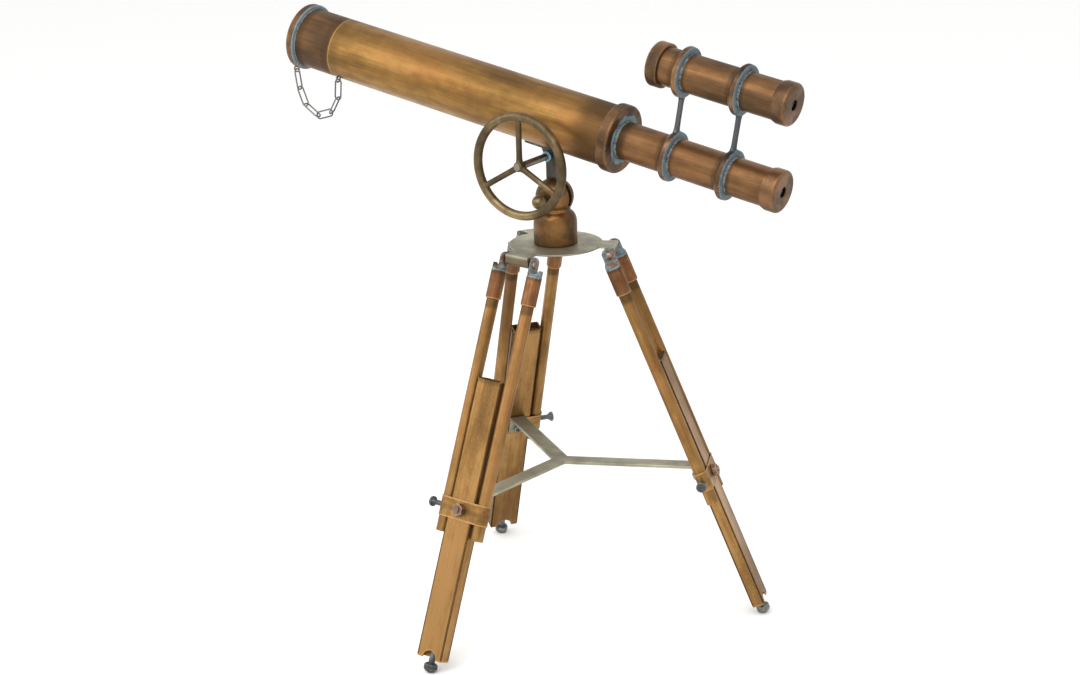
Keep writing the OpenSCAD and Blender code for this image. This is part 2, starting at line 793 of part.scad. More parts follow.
module finder_bracket(t) {
    color(bronze) difference() {
        union() {
            spin(t) bracket_ring();
            spin(t, finder_h) bracket_ring();
            tube_frame(t + bracket_w / 2) {
                translate([-strut_w / 2, -strut_y / 2, draw_r + 1])
                    cube([strut_w, strut_y, finder_h - 2 * draw_r - 2]);
                for (h = [bracket_r - 1.5, finder_h - bracket_r + 1.5]) translate([0, 0, h])
                    rotate([0, 90, 0]) translate([0, 0, -strut_w / 2]) cylinder(r = 4.4, h = strut_w);
            }
        }
        for (h = [0, finder_h]) spin(t - 5, h) cylinder(r = draw_r, h = bracket_w + 10, $fn = 96);
    }
}

module finder_tube() {
    start = finder_front + bezel_lip + finder_lens_len;
    color(copper) spin(start, finder_h)
        sleeve(draw_r, draw_r - draw_wall, finder_end - eye_seat - start);
}

module finder_bezel() {
    color(bronze) spin(finder_front, finder_h) difference() {
        rotate_extrude($fn = 96) rounded_profile(bezel_r, bezel_len, 2.4, 1.2);
        translate([0, 0, -eps]) cylinder(r = bezel_hole_r, h = bezel_len, $fn = 96);
        translate([0, 0, bezel_lip]) cylinder(r = draw_r, h = bezel_len, $fn = 96);
    }
}

module finder_lens() {
    color(glass) spin(finder_front + bezel_lip, finder_h)
        cylinder(r = draw_r, h = finder_lens_len, $fn = 96);
}

module finder_eyepiece() {
    color(bronze) eyepiece(finder_end, finder_h);
}

module finder_eye_lens() {
    color(glass) eye_lens(finder_end, finder_h);
}

top_plate();
spreader();
spreader_bolts();
hinge_bolts();
clamp_nuts();
leg_rods(1);  // leg_rods_1
leg_rods(2);  // leg_rods_2
leg_rods(3);  // leg_rods_3
leg_ferrules(1);  // leg_ferrules_1
leg_ferrules(2);  // leg_ferrules_2
leg_ferrules(3);  // leg_ferrules_3
leg_lugs(1);  // leg_lugs_1
leg_lugs(2);  // leg_lugs_2
leg_lugs(3);  // leg_lugs_3
clamp_band(1);  // clamp_band_1
clamp_band(2);  // clamp_band_2
clamp_band(3);  // clamp_band_3
thumb_screw(1);  // thumb_screw_1
thumb_screw(2);  // thumb_screw_2
thumb_screw(3);  // thumb_screw_3
sliding_plank(1);  // sliding_plank_1
sliding_plank(2);  // sliding_plank_2
sliding_plank(3);  // sliding_plank_3
foot(1);  // foot_1
foot(2);  // foot_2
foot(3);  // foot_3
head_post();
swivel_bolt();
swivel_washer();
tilt_screw();
tilt_nut();
tube_bracket();
wheel_shaft();
hand_wheel();
main_tube();
rear_collar();
guide_bush();
objective_cell();
objective_lens();
lens_ring();
objective_cap();
chain_staple();
cap_chain();
draw_tube();
stop_ring();
eyepiece_cap();
eyepiece_lens();
finder_bracket(bracket_front_t);  // finder_bracket_front
finder_bracket(bracket_rear_t);  // finder_bracket_rear
finder_tube();
finder_bezel();
finder_lens();
finder_eyepiece();
finder_eye_lens();
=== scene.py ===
"""The finished look of a decorative telescope on its tripod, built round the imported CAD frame."""

import json
import math

import bmesh
import bpy
import numpy as np
from mathutils import Matrix, Vector, noise

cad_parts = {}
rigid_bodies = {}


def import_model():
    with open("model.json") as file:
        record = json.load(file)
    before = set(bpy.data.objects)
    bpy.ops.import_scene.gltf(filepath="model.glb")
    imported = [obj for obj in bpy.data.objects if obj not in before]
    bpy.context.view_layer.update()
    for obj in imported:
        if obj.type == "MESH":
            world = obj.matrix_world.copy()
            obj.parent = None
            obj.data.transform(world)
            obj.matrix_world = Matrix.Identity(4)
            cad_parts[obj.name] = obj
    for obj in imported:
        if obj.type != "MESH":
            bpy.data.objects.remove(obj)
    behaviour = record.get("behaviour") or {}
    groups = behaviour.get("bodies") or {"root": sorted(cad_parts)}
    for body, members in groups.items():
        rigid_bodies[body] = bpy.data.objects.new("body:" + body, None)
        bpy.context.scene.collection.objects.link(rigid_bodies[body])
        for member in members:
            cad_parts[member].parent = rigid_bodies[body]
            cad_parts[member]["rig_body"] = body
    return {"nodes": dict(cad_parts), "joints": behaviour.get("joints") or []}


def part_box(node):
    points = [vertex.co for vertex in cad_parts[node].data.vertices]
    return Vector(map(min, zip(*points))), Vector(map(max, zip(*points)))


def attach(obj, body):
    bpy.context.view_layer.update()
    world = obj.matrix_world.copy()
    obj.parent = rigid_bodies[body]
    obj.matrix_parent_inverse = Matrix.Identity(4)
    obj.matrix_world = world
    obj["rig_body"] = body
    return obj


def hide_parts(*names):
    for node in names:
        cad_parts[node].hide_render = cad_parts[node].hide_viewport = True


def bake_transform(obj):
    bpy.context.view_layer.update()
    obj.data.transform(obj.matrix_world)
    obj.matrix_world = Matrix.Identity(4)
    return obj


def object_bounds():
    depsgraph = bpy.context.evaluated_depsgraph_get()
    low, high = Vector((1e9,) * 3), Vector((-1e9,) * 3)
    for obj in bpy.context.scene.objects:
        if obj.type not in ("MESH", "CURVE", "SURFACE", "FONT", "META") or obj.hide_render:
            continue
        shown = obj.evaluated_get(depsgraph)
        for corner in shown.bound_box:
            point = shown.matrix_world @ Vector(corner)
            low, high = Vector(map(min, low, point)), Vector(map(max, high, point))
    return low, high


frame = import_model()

bl_info = {
    "name": "Telescope on Tripod",
    "version": (1, 0, 0),
    "blender": (4, 5, 0),
    "location": "3D View > Sidebar > Telescope",
    "description": "Builds the metal finishes and fine shapes of a decorative telescope on a tripod",
    "category": "Add Mesh",
}

CAD_BOX = [list(corner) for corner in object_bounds()]
JOINTS = {joint["name"]: joint for joint in frame["joints"]}
LEGS = (1, 2, 3)
MM = 0.001


# ---- Where the CAD puts things ----


def cad_points(node, matrix=Matrix()):
    """A CAD node's vertices in the frame that matrix places."""
    found = np.array([v.co for v in frame["nodes"][node].data.vertices], float)
    back = np.array(matrix.inverted(), float)
    return found @ back[:3, :3].T + back[:3, 3]


def span(node, matrix=Matrix()):
    """A CAD node's lowest and highest corners in the frame that matrix places."""
    found = cad_points(node, matrix)
    return Vector(found.min(0)), Vector(found.max(0))


def frame_of(origin, along, up):
    """A frame at origin with X along one direction and Z as near up as it can be."""
    x = Vector(along).normalized()
    y = Vector(up).cross(x).normalized()
    z = x.cross(y)
    matrix = Matrix((x, y, z)).transposed().to_4x4()
    matrix.translation = origin
    return matrix


def shifted(matrix, x=0.0, y=0.0, z=0.0):
    """The same frame, moved along its own axes."""
    return matrix @ Matrix.Translation((x, y, z))


def tube_frame(node="main_tube"):
    """The frame of a tube on the telescope: X runs to the eyepiece, and the origin is over the tripod."""
    level = frame_of((0, 0, 0), JOINTS["focus_slide"]["axis"], (0, 0, 1))
    low, high = span(node, level)
    middle = level @ ((low + high) / 2)
    x = level.col[0].xyz
    main = frame_of(middle - x * (middle.x / x.x), x, (0, 0, 1))
    if node == "main_tube":
        return main
    parent = tube_frame()
    low, high = span(node, parent)
    return shifted(parent, 0, 0, (low.z + high.z) / 2)


def leg_frame(k):
    """The frame of a leg: the origin is on its hinge, X runs down the leg and Z points out of its face."""
    down = Vector(JOINTS[f"leg_{k}_slide"]["axis"])
    out = Vector((down.x, down.y, 0)).normalized()
    tilted = frame_of((0, 0, 0), down, out)
    low, high = span(f"sliding_plank_{k}", tilted)
    middle = tilted @ ((low + high) / 2)
    low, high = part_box("hinge_bolts")
    hinge_z = (low.z + high.z) / 2
    return frame_of(middle - down * ((middle.z - hinge_z) / down.z), down, out)


def bar_frames(node, leg):
    """The two rod frames of a leg, each with X down its own rod."""
    found = cad_points(node, leg)
    frames = []
    for side in (-1, 1):
        one = found[found[:, 1] * side > 0]
        top = one[one[:, 0] < one[:, 0].min() + 1 * MM].mean(0)
        foot = one[one[:, 0] > one[:, 0].max() - 1 * MM].mean(0)
        line = Vector(foot - top)
        frames.append(frame_of(Vector(top) - line * (top[0] / line.x), line, (0, 0, 1)))
    return frames


TUBE = tube_frame()
FINDER = tube_frame("finder_tube")
LEG = {k: leg_frame(k) for k in LEGS}
HEAD = Matrix.Translation((0, 0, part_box("top_plate")[1].z))


# ---- Shapes ----


def eased(outline, step):
    """A closed outline of (x, r, rounding) corners as points: corners rounded, long sides divided."""
    points, count = [], len(outline)
    for i, (x, r, rounding) in enumerate(outline):
        here = Vector((x, r))
        before = Vector(outline[i - 1][:2]) - here
        after = Vector(outline[(i + 1) % count][:2]) - here
        turn = before.angle(after, math.pi)
        if rounding < 1e-7 or turn > math.pi - 0.02:
            points.append(here)
            continue
        reach = min(rounding / math.tan(turn / 2), before.length * 0.49, after.length * 0.49)
        radius = reach * math.tan(turn / 2)
        centre = here + (before.normalized() + after.normalized()).normalized() * (
            radius / math.sin(turn / 2))
        start = here + before.normalized() * reach - centre
        sweep = start.angle_signed(here + after.normalized() * reach - centre, 0.0)
        steps = max(3, math.ceil(abs(sweep) / math.radians(15)))
        for j in range(steps + 1):
            a = -sweep * j / steps
            points.append(centre + Vector((start.x * math.cos(a) - start.y * math.sin(a),
                                           start.x * math.sin(a) + start.y * math.cos(a))))
    full = []
    for i, here in enumerate(points):
        after = points[(i + 1) % len(points)]
        cuts = max(1, math.ceil((after - here).length / step))
        if here.y < 1e-7 and after.y < 1e-7:
            cuts = 1
        full += [here.lerp(after, j / cuts) for j in range(cuts)]
    return full


def round_bar(x0, x1, radius, rounding):
    """The outline of a solid round bar."""
    return [(x0, 0, 0), (x0, radius, rounding), (x1, radius, rounding), (x1, 0, 0)]


def sleeve(x0, x1, outer, inner, rounding, inside=0.3 * MM):
    """The outline of a tube."""
    return [(x0, inner, inside), (x0, outer, rounding), (x1, outer, rounding), (x1, inner, inside)]


def oblong(half_long, radius, steps=12):
    """The outline, in Y and Z, of two half circles joined by straight sides."""
    points = []
    for end in (1, -1):
        for j in range(steps + 1):
            a = math.pi * (j / steps - 0.5)
            points.append((end * (half_long + radius * math.cos(a)), end * radius * math.sin(a)))
    return points


class Shape:
    """A piece in the making, in a frame of its own."""

    def __init__(self, matrix=Matrix()):
        self.matrix = matrix
        self.mesh = bmesh.new()

    def keep(self, part, place=Matrix()):
        """Adds a bmesh, and uses it up."""
        bmesh.ops.remove_doubles(part, verts=part.verts, dist=1e-7)
        bmesh.ops.recalc_face_normals(part, faces=part.faces)
        part.transform(place)
        held = bpy.data.meshes.new("part")
        part.to_mesh(held)
        part.free()
        self.mesh.from_mesh(held)
        bpy.data.meshes.remove(held)
        return self

    def turn(self, outline, place=Matrix(), sides=128, step=2.5 * MM):
        """A turned part: an outline swept round X."""
        part = bmesh.new()
        points = eased(outline, step)
        angles = [math.tau * j / sides for j in range(sides)]
        rings = [[part.verts.new((p.x, p.y * math.cos(a), p.y * math.sin(a))) for a in angles]
                 for p in points]
        for i, ring in enumerate(rings):
            after = rings[(i + 1) % len(rings)]
            if points[i].y < 1e-7 and points[(i + 1) % len(points)].y < 1e-7:
                continue
            for j in range(sides):
                k = (j + 1) % sides
                part.faces.new((ring[j], ring[k], after[k], after[j]))
        bmesh.ops.remove_doubles(part, verts=part.verts, dist=1e-7)
        bmesh.ops.dissolve_degenerate(part, edges=part.edges, dist=1e-7)
        return self.keep(part, place)

    def slab(self, outline, low, high, rounding, place=Matrix()):
        """A flat part: an outline in X and Y, raised along Z, with its edges rounded."""
        part = bmesh.new()
        part.faces.new([part.verts.new((x, y, low)) for x, y in outline])
        raised = bmesh.ops.extrude_face_region(part, geom=part.faces[:])["geom"]
        bmesh.ops.translate(part, vec=(0, 0, high - low),
                            verts=[v for v in raised if isinstance(v, bmesh.types.BMVert)])
        bmesh.ops.recalc_face_normals(part, faces=part.faces)
        sharp = [e for e in part.edges if e.calc_face_angle(0) > math.radians(25)]
        bmesh.ops.bevel(part, geom=sharp, offset=rounding, offset_type="OFFSET", segments=3,
                        profile=0.5, affect="EDGES", clamp_overlap=True)
        wide = [f for f in part.faces if f.calc_area() > 12 * rounding * rounding and len(f.verts) >= 4]
        bmesh.ops.inset_individual(part, faces=wide, thickness=rounding * 0.9, use_even_offset=True)
        return self.keep(part, place)

    def ball(self, radius, place=Matrix(), squeeze=(1, 1, 1)):
        """A round lump."""
        part = bmesh.new()
        bmesh.ops.create_icosphere(part, subdivisions=4, radius=radius)
        return self.keep(part, place @ Matrix.Diagonal((*squeeze, 1)))

    def wire(self, path, radius, place=Matrix(), sides=16, closed=False):
        """A bar swept along a path; radius is a number, or one (y, z) pair of half sizes for each point."""
        part = bmesh.new()
        count = len(path)
        rings = []
        side = Vector((0, 1, 0))
        for i, point in enumerate(path):
            before = path[i - 1] if closed or i else point
            after = path[(i + 1) % count] if closed or i < count - 1 else point
            line = (Vector(after) - Vector(before)).normalized()
            side = (side - line * side.dot(line)).normalized()
            other = line.cross(side)
            wide, deep = radius[i] if isinstance(radius, list) else (radius, radius)
            angles = (math.tau * j / sides for j in range(sides))
            rings.append([
                part.verts.new(Vector(point) + side * (wide * math.cos(a)) + other * (deep * math.sin(a)))
                for a in angles])
        for i in range(count if closed else count - 1):
            ring, after = rings[i], rings[(i + 1) % count]
            for j in range(sides):
                k = (j + 1) % sides
                part.faces.new((ring[j], ring[k], after[k], after[j]))
        if not closed:
            part.faces.new(rings[0])
            part.faces.new(rings[-1])
        return self.keep(part, place)

    def cad(self, node):
        """A copy of a CAD node, as the stock to work from."""
        part = bmesh.new()
        part.from_mesh(frame["nodes"][node].data)
        bmesh.ops.remove_doubles(part, verts=part.verts, dist=1e-6)
        part.transform(self.matrix.inverted())
        return self.keep(part)

    def cut(self, other, crossing=False):
        """Takes another shape out of this one; crossing is for a skin that may cross itself."""
        held = [bpy.data.meshes.new("whole"), bpy.data.meshes.new("tool")]
        self.mesh.to_mesh(held[0])
        other.mesh.to_mesh(held[1])
        whole, tool = (bpy.data.objects.new(m.name, m) for m in held)
        for thing in (whole, tool):
            bpy.context.scene.collection.objects.link(thing)
        cutter = whole.modifiers.new("cut", "BOOLEAN")
        cutter.operation, cutter.object, cutter.solver = "DIFFERENCE", tool, "EXACT"
        cutter.use_self = crossing
        return self.take(whole, tool)

    def fuse(self, grain, rounds=2, keep=0.5):
        """Melts the parts into one skin, as a casting or a weld does."""
        held = bpy.data.meshes.new("whole")
        self.mesh.to_mesh(held)
        whole = bpy.data.objects.new("whole", held)
        bpy.context.scene.collection.objects.link(whole)
        remesh = whole.modifiers.new("melt", "REMESH")
        remesh.mode, remesh.voxel_size, remesh.adaptivity = "VOXEL", grain, 0.0
        if rounds:
            ease = whole.modifiers.new("ease", "SMOOTH")
            ease.factor, ease.iterations = keep, rounds
        return self.take(whole)

    def take(self, whole, *spare):
        """The shape becomes an object's mesh with its modifiers worked out; the objects go."""
        depsgraph = bpy.context.evaluated_depsgraph_get()
        made = bpy.data.meshes.new_from_object(whole.evaluated_get(depsgraph), depsgraph=depsgraph)
        self.mesh.clear()
        self.mesh.from_mesh(made)
        if not self.mesh.verts:
            raise RuntimeError("a shape came out empty")
        for thing in (whole, *spare):
            old = thing.data
            bpy.data.objects.remove(thing)
            bpy.data.meshes.remove(old)
        bpy.data.meshes.remove(made)
        return self

    def weather(self, depth, size, seed=0.0):
        """Small unevenness, always inwards, so that the piece stays inside its true size."""
        self.mesh.normal_update()
        lift = [(noise.fractal(v.co / size + Vector((seed, 0, 0)), 1.0, 2.0, 3) - 1) * 0.5 * depth
                for v in self.mesh.verts]
        for v, d in zip(self.mesh.verts, lift):
            v.co += v.normal * d
        return self

    def rest_on_floor(self):
        """Flattens what would pass through the floor."""
        back = self.matrix.inverted()
        for v in self.mesh.verts:
            world = self.matrix @ v.co
            if world.z < 0:
                world.z = 0
                v.co = back @ world
        return self

    def finish(self, name, finish, body, *nodes, gain=4.0, sharp=40.0, slot=None):
        """Makes the piece: it rides on a body, stands for CAD nodes and takes a finish."""
        mesh = bpy.data.meshes.new(name)
        self.mesh.to_mesh(mesh)
        self.mesh.free()
        mesh.shade_smooth()
        mesh.set_sharp_from_angle(angle=math.radians(sharp))
        mark_edges(mesh, gain)
        mesh.materials.append(FINISHES[finish]())
        piece = bpy.data.objects.new(name, mesh)
        piece.matrix_world = self.matrix
        piece.pass_index = len(bpy.data.objects)
        bpy.context.scene.collection.objects.link(piece)
        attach(piece, body)
        if nodes:
            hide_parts(*nodes)
        return piece


def mark_edges(mesh, gain):
    """Stores how far each vertex stands out (+) or lies in a corner (-), for wear on edges and painted shade
    in corners.
    """
    count = len(mesh.vertices)
    co, normal = np.zeros(count * 3), np.zeros(count * 3)
    mesh.vertices.foreach_get("co", co)
    mesh.vertices.foreach_get("normal", normal)
    ends = np.zeros(len(mesh.edges) * 2, int)
    mesh.edges.foreach_get("vertices", ends)
    co, normal, ends = co.reshape(-1, 3), normal.reshape(-1, 3), ends.reshape(-1, 2)
    a, b = ends.T
    line = co[b] - co[a]
    line /= np.maximum(np.linalg.norm(line, axis=1), 1e-9)[:, None]
    number = np.bincount(a, minlength=count) + np.bincount(b, minlength=count)
    number = np.maximum(number, 1)
    bend = np.bincount(a, (line * normal[a]).sum(1), count) - np.bincount(b, (line * normal[b]).sum(1), count)
    value = np.clip(-bend / number * gain, -1, 1)
    for _ in range(2):
        around = np.bincount(a, value[b], count) + np.bincount(b, value[a], count)
        value = 0.5 * value + 0.5 * around / number
    mesh.attributes.new("edge", "FLOAT", "POINT").data.foreach_set("value", value.astype(np.float32))


# ---- Finishes ----


class Wire:
    """A shader node's output. Arithmetic on it adds Math nodes."""

    def __init__(self, paint, socket):
        self.paint, self.socket = paint, socket

    def maths(self, operation, a, b):
        return self.paint.add("ShaderNodeMath", {"operation": operation}, {0: a, 1: b})

    def __add__(self, other):
        return self.maths("ADD", self, other)

    def __radd__(self, other):
        return self.maths("ADD", other, self)

    def __sub__(self, other):
        return self.maths("SUBTRACT", self, other)

    def __rsub__(self, other):
        return self.maths("SUBTRACT", other, self)

    def __mul__(self, other):
        return self.maths("MULTIPLY", self, other)

    def __rmul__(self, other):
        return self.maths("MULTIPLY", other, self)

    def __abs__(self):
        return self.paint.add("ShaderNodeMath", {"operation": "ABSOLUTE"}, {0: self})

    def over(self, other):
        return self.maths("MAXIMUM", self, other)


class Paint:
    """A material in the making, on a Principled shader."""

    def __init__(self, name, **constants):
        self.material = bpy.data.materials.new(name)
        self.material.use_nodes = True
        self.tree = self.material.node_tree
        self.shader = self.tree.nodes["Principled BSDF"]
        for socket, value in constants.items():
            self.shader.inputs[socket.replace("_", " ")].default_value = value
        self.place = self.add("ShaderNodeTexCoord", {}, {}, "Object")
        self.along = self.add("ShaderNodeSeparateXYZ", {}, {0: self.place}, "X")
        self.up = self.add("ShaderNodeSeparateXYZ", {}, {0: self.place}, "Z")
        flat = self.add("ShaderNodeVectorMath", {"operation": "MULTIPLY"}, {0: self.place, 1: (0, 1, 1)})
        self.radius = self.add("ShaderNodeVectorMath", {"operation": "LENGTH"}, {0: flat}, "Value")
        number = self.add("ShaderNodeObjectInfo", {}, {}, "Object Index")
        self.vary = self.add("ShaderNodeVectorMath", {"operation": "ADD"},
                             {0: self.place, 1: self.add("ShaderNodeCombineXYZ", {}, {
                                 "X": number * 0.173, "Y": number * 0.019, "Z": number * 0.047})})
        self.edge = self.add("ShaderNodeAttribute", {"attribute_name": "edge"}, {}, "Fac")

    def add(self, kind, settings, values, output=0):
        """Adds a node: its settings first, then the values or links of its sockets."""
        node = self.tree.nodes.new(kind)
        for key, value in settings.items():
            if key == "stops":
                for _ in range(len(value) - 2):
                    node.color_ramp.elements.new(0.5)
                for stop, (at, colour) in zip(node.color_ramp.elements, value):
                    stop.position, stop.color = at, (*colour, 1)
            else:
                setattr(node, key, value)
        for key, value in values.items():
            if isinstance(value, Wire):
                self.tree.links.new(value.socket, node.inputs[key])
            else:
                node.inputs[key].default_value = value
        return Wire(self, node.outputs[output])

    def noise(self, size, detail=3.0, rough=0.55, stretch=1.0):
        """Noise with lumps of about size metres, drawn out along X."""
        vector = self.add("ShaderNodeVectorMath", {"operation": "MULTIPLY"},
                          {0: self.vary, 1: (1 / stretch, 1, 1)})
        return self.add("ShaderNodeTexNoise", {}, {
            "Vector": vector, "Scale": 0.5 / size, "Detail": detail, "Roughness": rough}, 0)

    def smooth(self, value, low, high):
        """0 below low, 1 above high, smooth between."""
        return self.add("ShaderNodeMapRange", {"interpolation_type": "SMOOTHSTEP"},
                        {"Value": value, "From Min": low, "From Max": high})

    def mix(self, factor, a, b, kind="MIX"):
        """One colour into another."""
        a, b = ((*c, 1) if isinstance(c, tuple) else c for c in (a, b))
        settings = {"data_type": "RGBA", "blend_type": kind}
        return self.add("ShaderNodeMix", settings, {0: factor, 6: a, 7: b}, 2)

    def ramp(self, value, *stops):
        return self.add("ShaderNodeValToRGB", {"stops": stops}, {0: value})

    def ring(self, at, reach, value=None):
        """1 at a place along the piece, or at a value, falling to 0 at reach metres from it."""
        return 1 - self.smooth(abs((value or self.along) - at), reach * 0.25, reach)

    def out(self, **values):
        for socket, value in values.items():
            self.tree.links.new(value.socket, self.shader.inputs[socket.replace("_", " ")])
        return self.material


def tone(red, green, blue):
    """A colour given as it looks, 0 to 255, as the light values that shaders take."""
    return tuple(c / 12.92 if c <= 0.04045 else ((c + 0.055) / 1.055) ** 2.4
                 for c in (red / 255, green / 255, blue / 255))


def aged_metal(name, shades, brush=1.0, stretch=26.0, grime_and_shade_colour=None, rough=(0.34, 0.56), blues=(), joint_shade=(),
               crust=0.0, wear=0.6, blue_tones=None, painted_highlights=(), metallic=0.85, rounds=(), stain=0.0, tint=None,
                bore=0.0):
    """Hand-finished metal: brushed along its length, mottled, worn on its edges, with dirt patches and
    painted shade in its corners.

    blues, soot and glow are lists of (place along the piece, reach, strength): verdigris, painted shade
    beside joins and painted highlight lines; rounds is the same at radii. stain is how far reddish-brown
    clouds cover it, tint a colour between two heights, and bore the radius within which it is painted
    near-black as painted shade.
    """
    look = bpy.context.scene.telescope_finish
    dark, body, bright = shades
    grime_and_shade_colour = grime_and_shade_colour or tuple(look.grime_and_shade_colour)
    pale, deep = blue_tones or (tuple(look.verdigris_pale), tuple(look.verdigris_deep))
    paint = Paint(name, Metallic=metallic, Roughness=0.45)
    coarse = paint.noise(1.3 * MM, 3, 0.6, stretch)
    fine = paint.noise(0.35 * MM, 3, 0.65, stretch * 1.6)
    blot = paint.noise(14 * MM, 3, 0.55, 1 + 0.08 * stretch)
    speck = paint.noise(0.9 * MM, 3, 0.65)
    mottle = paint.noise(4.5 * MM, 4, 0.6, 1.6)
    cloud = paint.noise(38 * MM, 2, 0.5, 1 + 0.03 * stretch)
    mixed = coarse * (0.09 * brush) + fine * (0.12 * brush) + blot * 0.36 + mottle * 0.12 + cloud * (
        0.52 - 0.21 * brush)
    shade = paint.smooth(mixed, 0.38, 0.62)
    colour = paint.ramp(shade, (0.0, dark), (0.5, body), (1.0, bright))
    if stain:
        colour = paint.mix(paint.smooth(cloud * 0.7 + blot * 0.3, 0.46, 0.66) * stain, colour,
                           tuple(look.stain), "MULTIPLY")
    if tint:
        foot, top, shade_of = tint
        between = paint.smooth(paint.up, foot, foot + 3 * MM) * (1 - paint.smooth(paint.up, top - 3 * MM,
                                                                                  top))
        colour = paint.mix(between * 0.85, colour, shade_of)
    worn = paint.smooth(paint.edge + (speck - 0.5) * 0.7, 0.12, 0.6) * wear
    colour = paint.mix(worn, colour, tuple(min(1.0, c * 1.25) for c in bright))
    # Painted shade: concave corners are darkened towards the dirt colour, along with random dirt patches from
    # the noise.
    grime_and_shade = paint.smooth((speck - 0.5) * 0.5 + (mottle - 0.5) * 0.5 - paint.edge, 0.1, 0.5)
    # Painted shade: darker bands beside the joins where parts meet, mottled by noise.
    for at, reach, strength in joint_shade:
        grime_and_shade = grime_and_shade.over(paint.smooth(paint.ring(at, reach) + (mottle - 0.5) * 1.1, 0.15,
                                              1.0) * strength)
    colour = paint.mix(grime_and_shade * 0.8, colour, grime_and_shade_colour)
    # Painted highlight: pale lines at the given places along the piece.
    for at, reach, strength in painted_highlights:
        colour = paint.mix(paint.smooth(paint.ring(at, reach) + (coarse - 0.5) * 0.9, 0.2, 0.9) * strength,
                           colour, tuple(min(1.0, c * 1.3) for c in bright))
    crusted = paint.smooth(crust * 1.0 + (mottle - 0.5) * 1.5 + (speck - 0.5) * 0.8, 0.42,
                           0.72) if crust else None
    for at, reach, strength in blues:
        one = paint.smooth(paint.ring(at, reach) * strength + (speck - 0.5) * 0.9 + (mottle - 0.5) * 0.8,
                           0.3, 0.75)
        crusted = one if crusted is None else crusted.over(one)
    for at, reach, strength in rounds:
        one = paint.smooth(paint.ring(at, reach, paint.radius) * strength + (mottle - 0.5) * 1.6, 0.3, 0.75)
        crusted = one if crusted is None else crusted.over(one)
    # Painted shade: within the bore radius the metal is painted near-black.
    if bore:
        colour = paint.mix(paint.smooth(paint.radius, bore - 0.3 * MM, bore), tone(16, 14, 12), colour)
    low, high = rough
    roughness = (1 - shade) * (high - low) + low + (speck - 0.5) * 0.12 + grime_and_shade * 0.12
    height = coarse * 0.22 + fine * 0.3 * brush + speck * 0.25
    if crusted is None:
        roughly, metal = roughness, None
    else:
        blue = paint.ramp(speck * 0.6 + mottle * 0.4, (0.3, deep), (0.62, pale))
        colour = paint.mix(crusted * 0.85, colour, blue)
        roughly = roughness + crusted * 0.3
        metal = metallic - crusted * (metallic - 0.1)
        height = height + crusted * speck * 0.9
    normal = paint.add("ShaderNodeBump", {}, {"Strength": 0.32, "Distance": 0.18 * MM, "Height": height})
    sockets = {"Base_Color": colour, "Roughness": roughly, "Normal": normal}
    if metal is not None:
        sockets["Metallic"] = metal
    return paint.out(**sockets)


def glass():
    """Lens glass, with a faint haze of dust."""
    paint = Paint("lens_glass", Transmission_Weight=0.92, IOR=1.5)
    dust = paint.smooth(paint.noise(3 * MM, 4, 0.6), 0.45, 0.75)
    return paint.out(Base_Color=paint.mix(dust * 0.2, (0.86, 0.93, 0.95), (0.55, 0.56, 0.52)),
                     Roughness=dust * 0.12 + 0.03)


def shades(kind):
    """The dark, middle and bright shade of a metal, from the panel."""
    look = bpy.context.scene.telescope_finish
    return tuple(tuple(getattr(look, f"{kind}_{level}")) for level in ("dark", "middle", "bright"))


def seams(*nodes, end=0, frame_used=TUBE):
    """Where CAD nodes end along a tube."""
    return [span(node, frame_used)[end].x for node in nodes]


def tube_copper():
    """Main tube: fine lengthwise brushing, a painted highlight line at the cell's seam, and painted shade
    towards the collar and beside the seam.
    """
    seam, collar = seams("main_tube")[0], seams("rear_collar")[0]
    return aged_metal("brushed_tube_copper", shades("copper"), stretch=40, stain=0.7,
                      painted_highlights=[(seam, 1.1 * MM, 0.9)], joint_shade=[(collar, 48 * MM, 0.85), (seam, 18 * MM, 0.3)])


def cell_copper():
    """Objective cell: browner than the tube, with a blue bloom beside the cap, painted shade beside the cap
    and the seam, and a painted highlight line at the seam.
    """
    seam, cap_edge = seams("main_tube")[0], seams("objective_cap", end=1)[0]
    return aged_metal("brushed_cell_copper", shades("draw"), stretch=30, stain=0.6,
                      blues=[(cap_edge, 2.4 * MM, 0.75)], painted_highlights=[(seam, 1.1 * MM, 0.8)],
                      joint_shade=[(cap_edge, 14 * MM, 0.6), (seam - 5 * MM, 7 * MM, 0.4)])


def cap_bronze():
    """Objective cap: dark turned bronze with a pale blue-grey rim."""
    rim = seams("objective_cap", end=1)[0]
    return aged_metal("cap_bronze", shades("trim"), brush=0.7, stretch=0.25, wear=0.6, stain=0.6,
                      blues=[(rim, 1.5 * MM, 1.2)])


def draw_copper():
    """Draw tube: brushed, with painted shade where it meets the collar and the finder's rings, and its bore
    painted near-black as painted shade.
    """
    collar = seams("rear_collar", end=1)[0]
    rings = seams("finder_bracket_front", "finder_bracket_rear")
    far = seams("finder_bracket_front", "finder_bracket_rear", end=1)
    inner = span("draw_tube", TUBE)[1].z - 0.6 * MM
    return aged_metal("brushed_draw_copper", shades("draw"), stretch=30, stain=0.6, bore=inner,
                      blues=[(collar + 1 * MM, 3 * MM, 0.6)] + [(t + 1 * MM, 2.4 * MM, 0.6) for t in far],
                      joint_shade=[(collar, 16 * MM, 0.9)] + [(t, 9 * MM, 0.7) for t in rings + far])


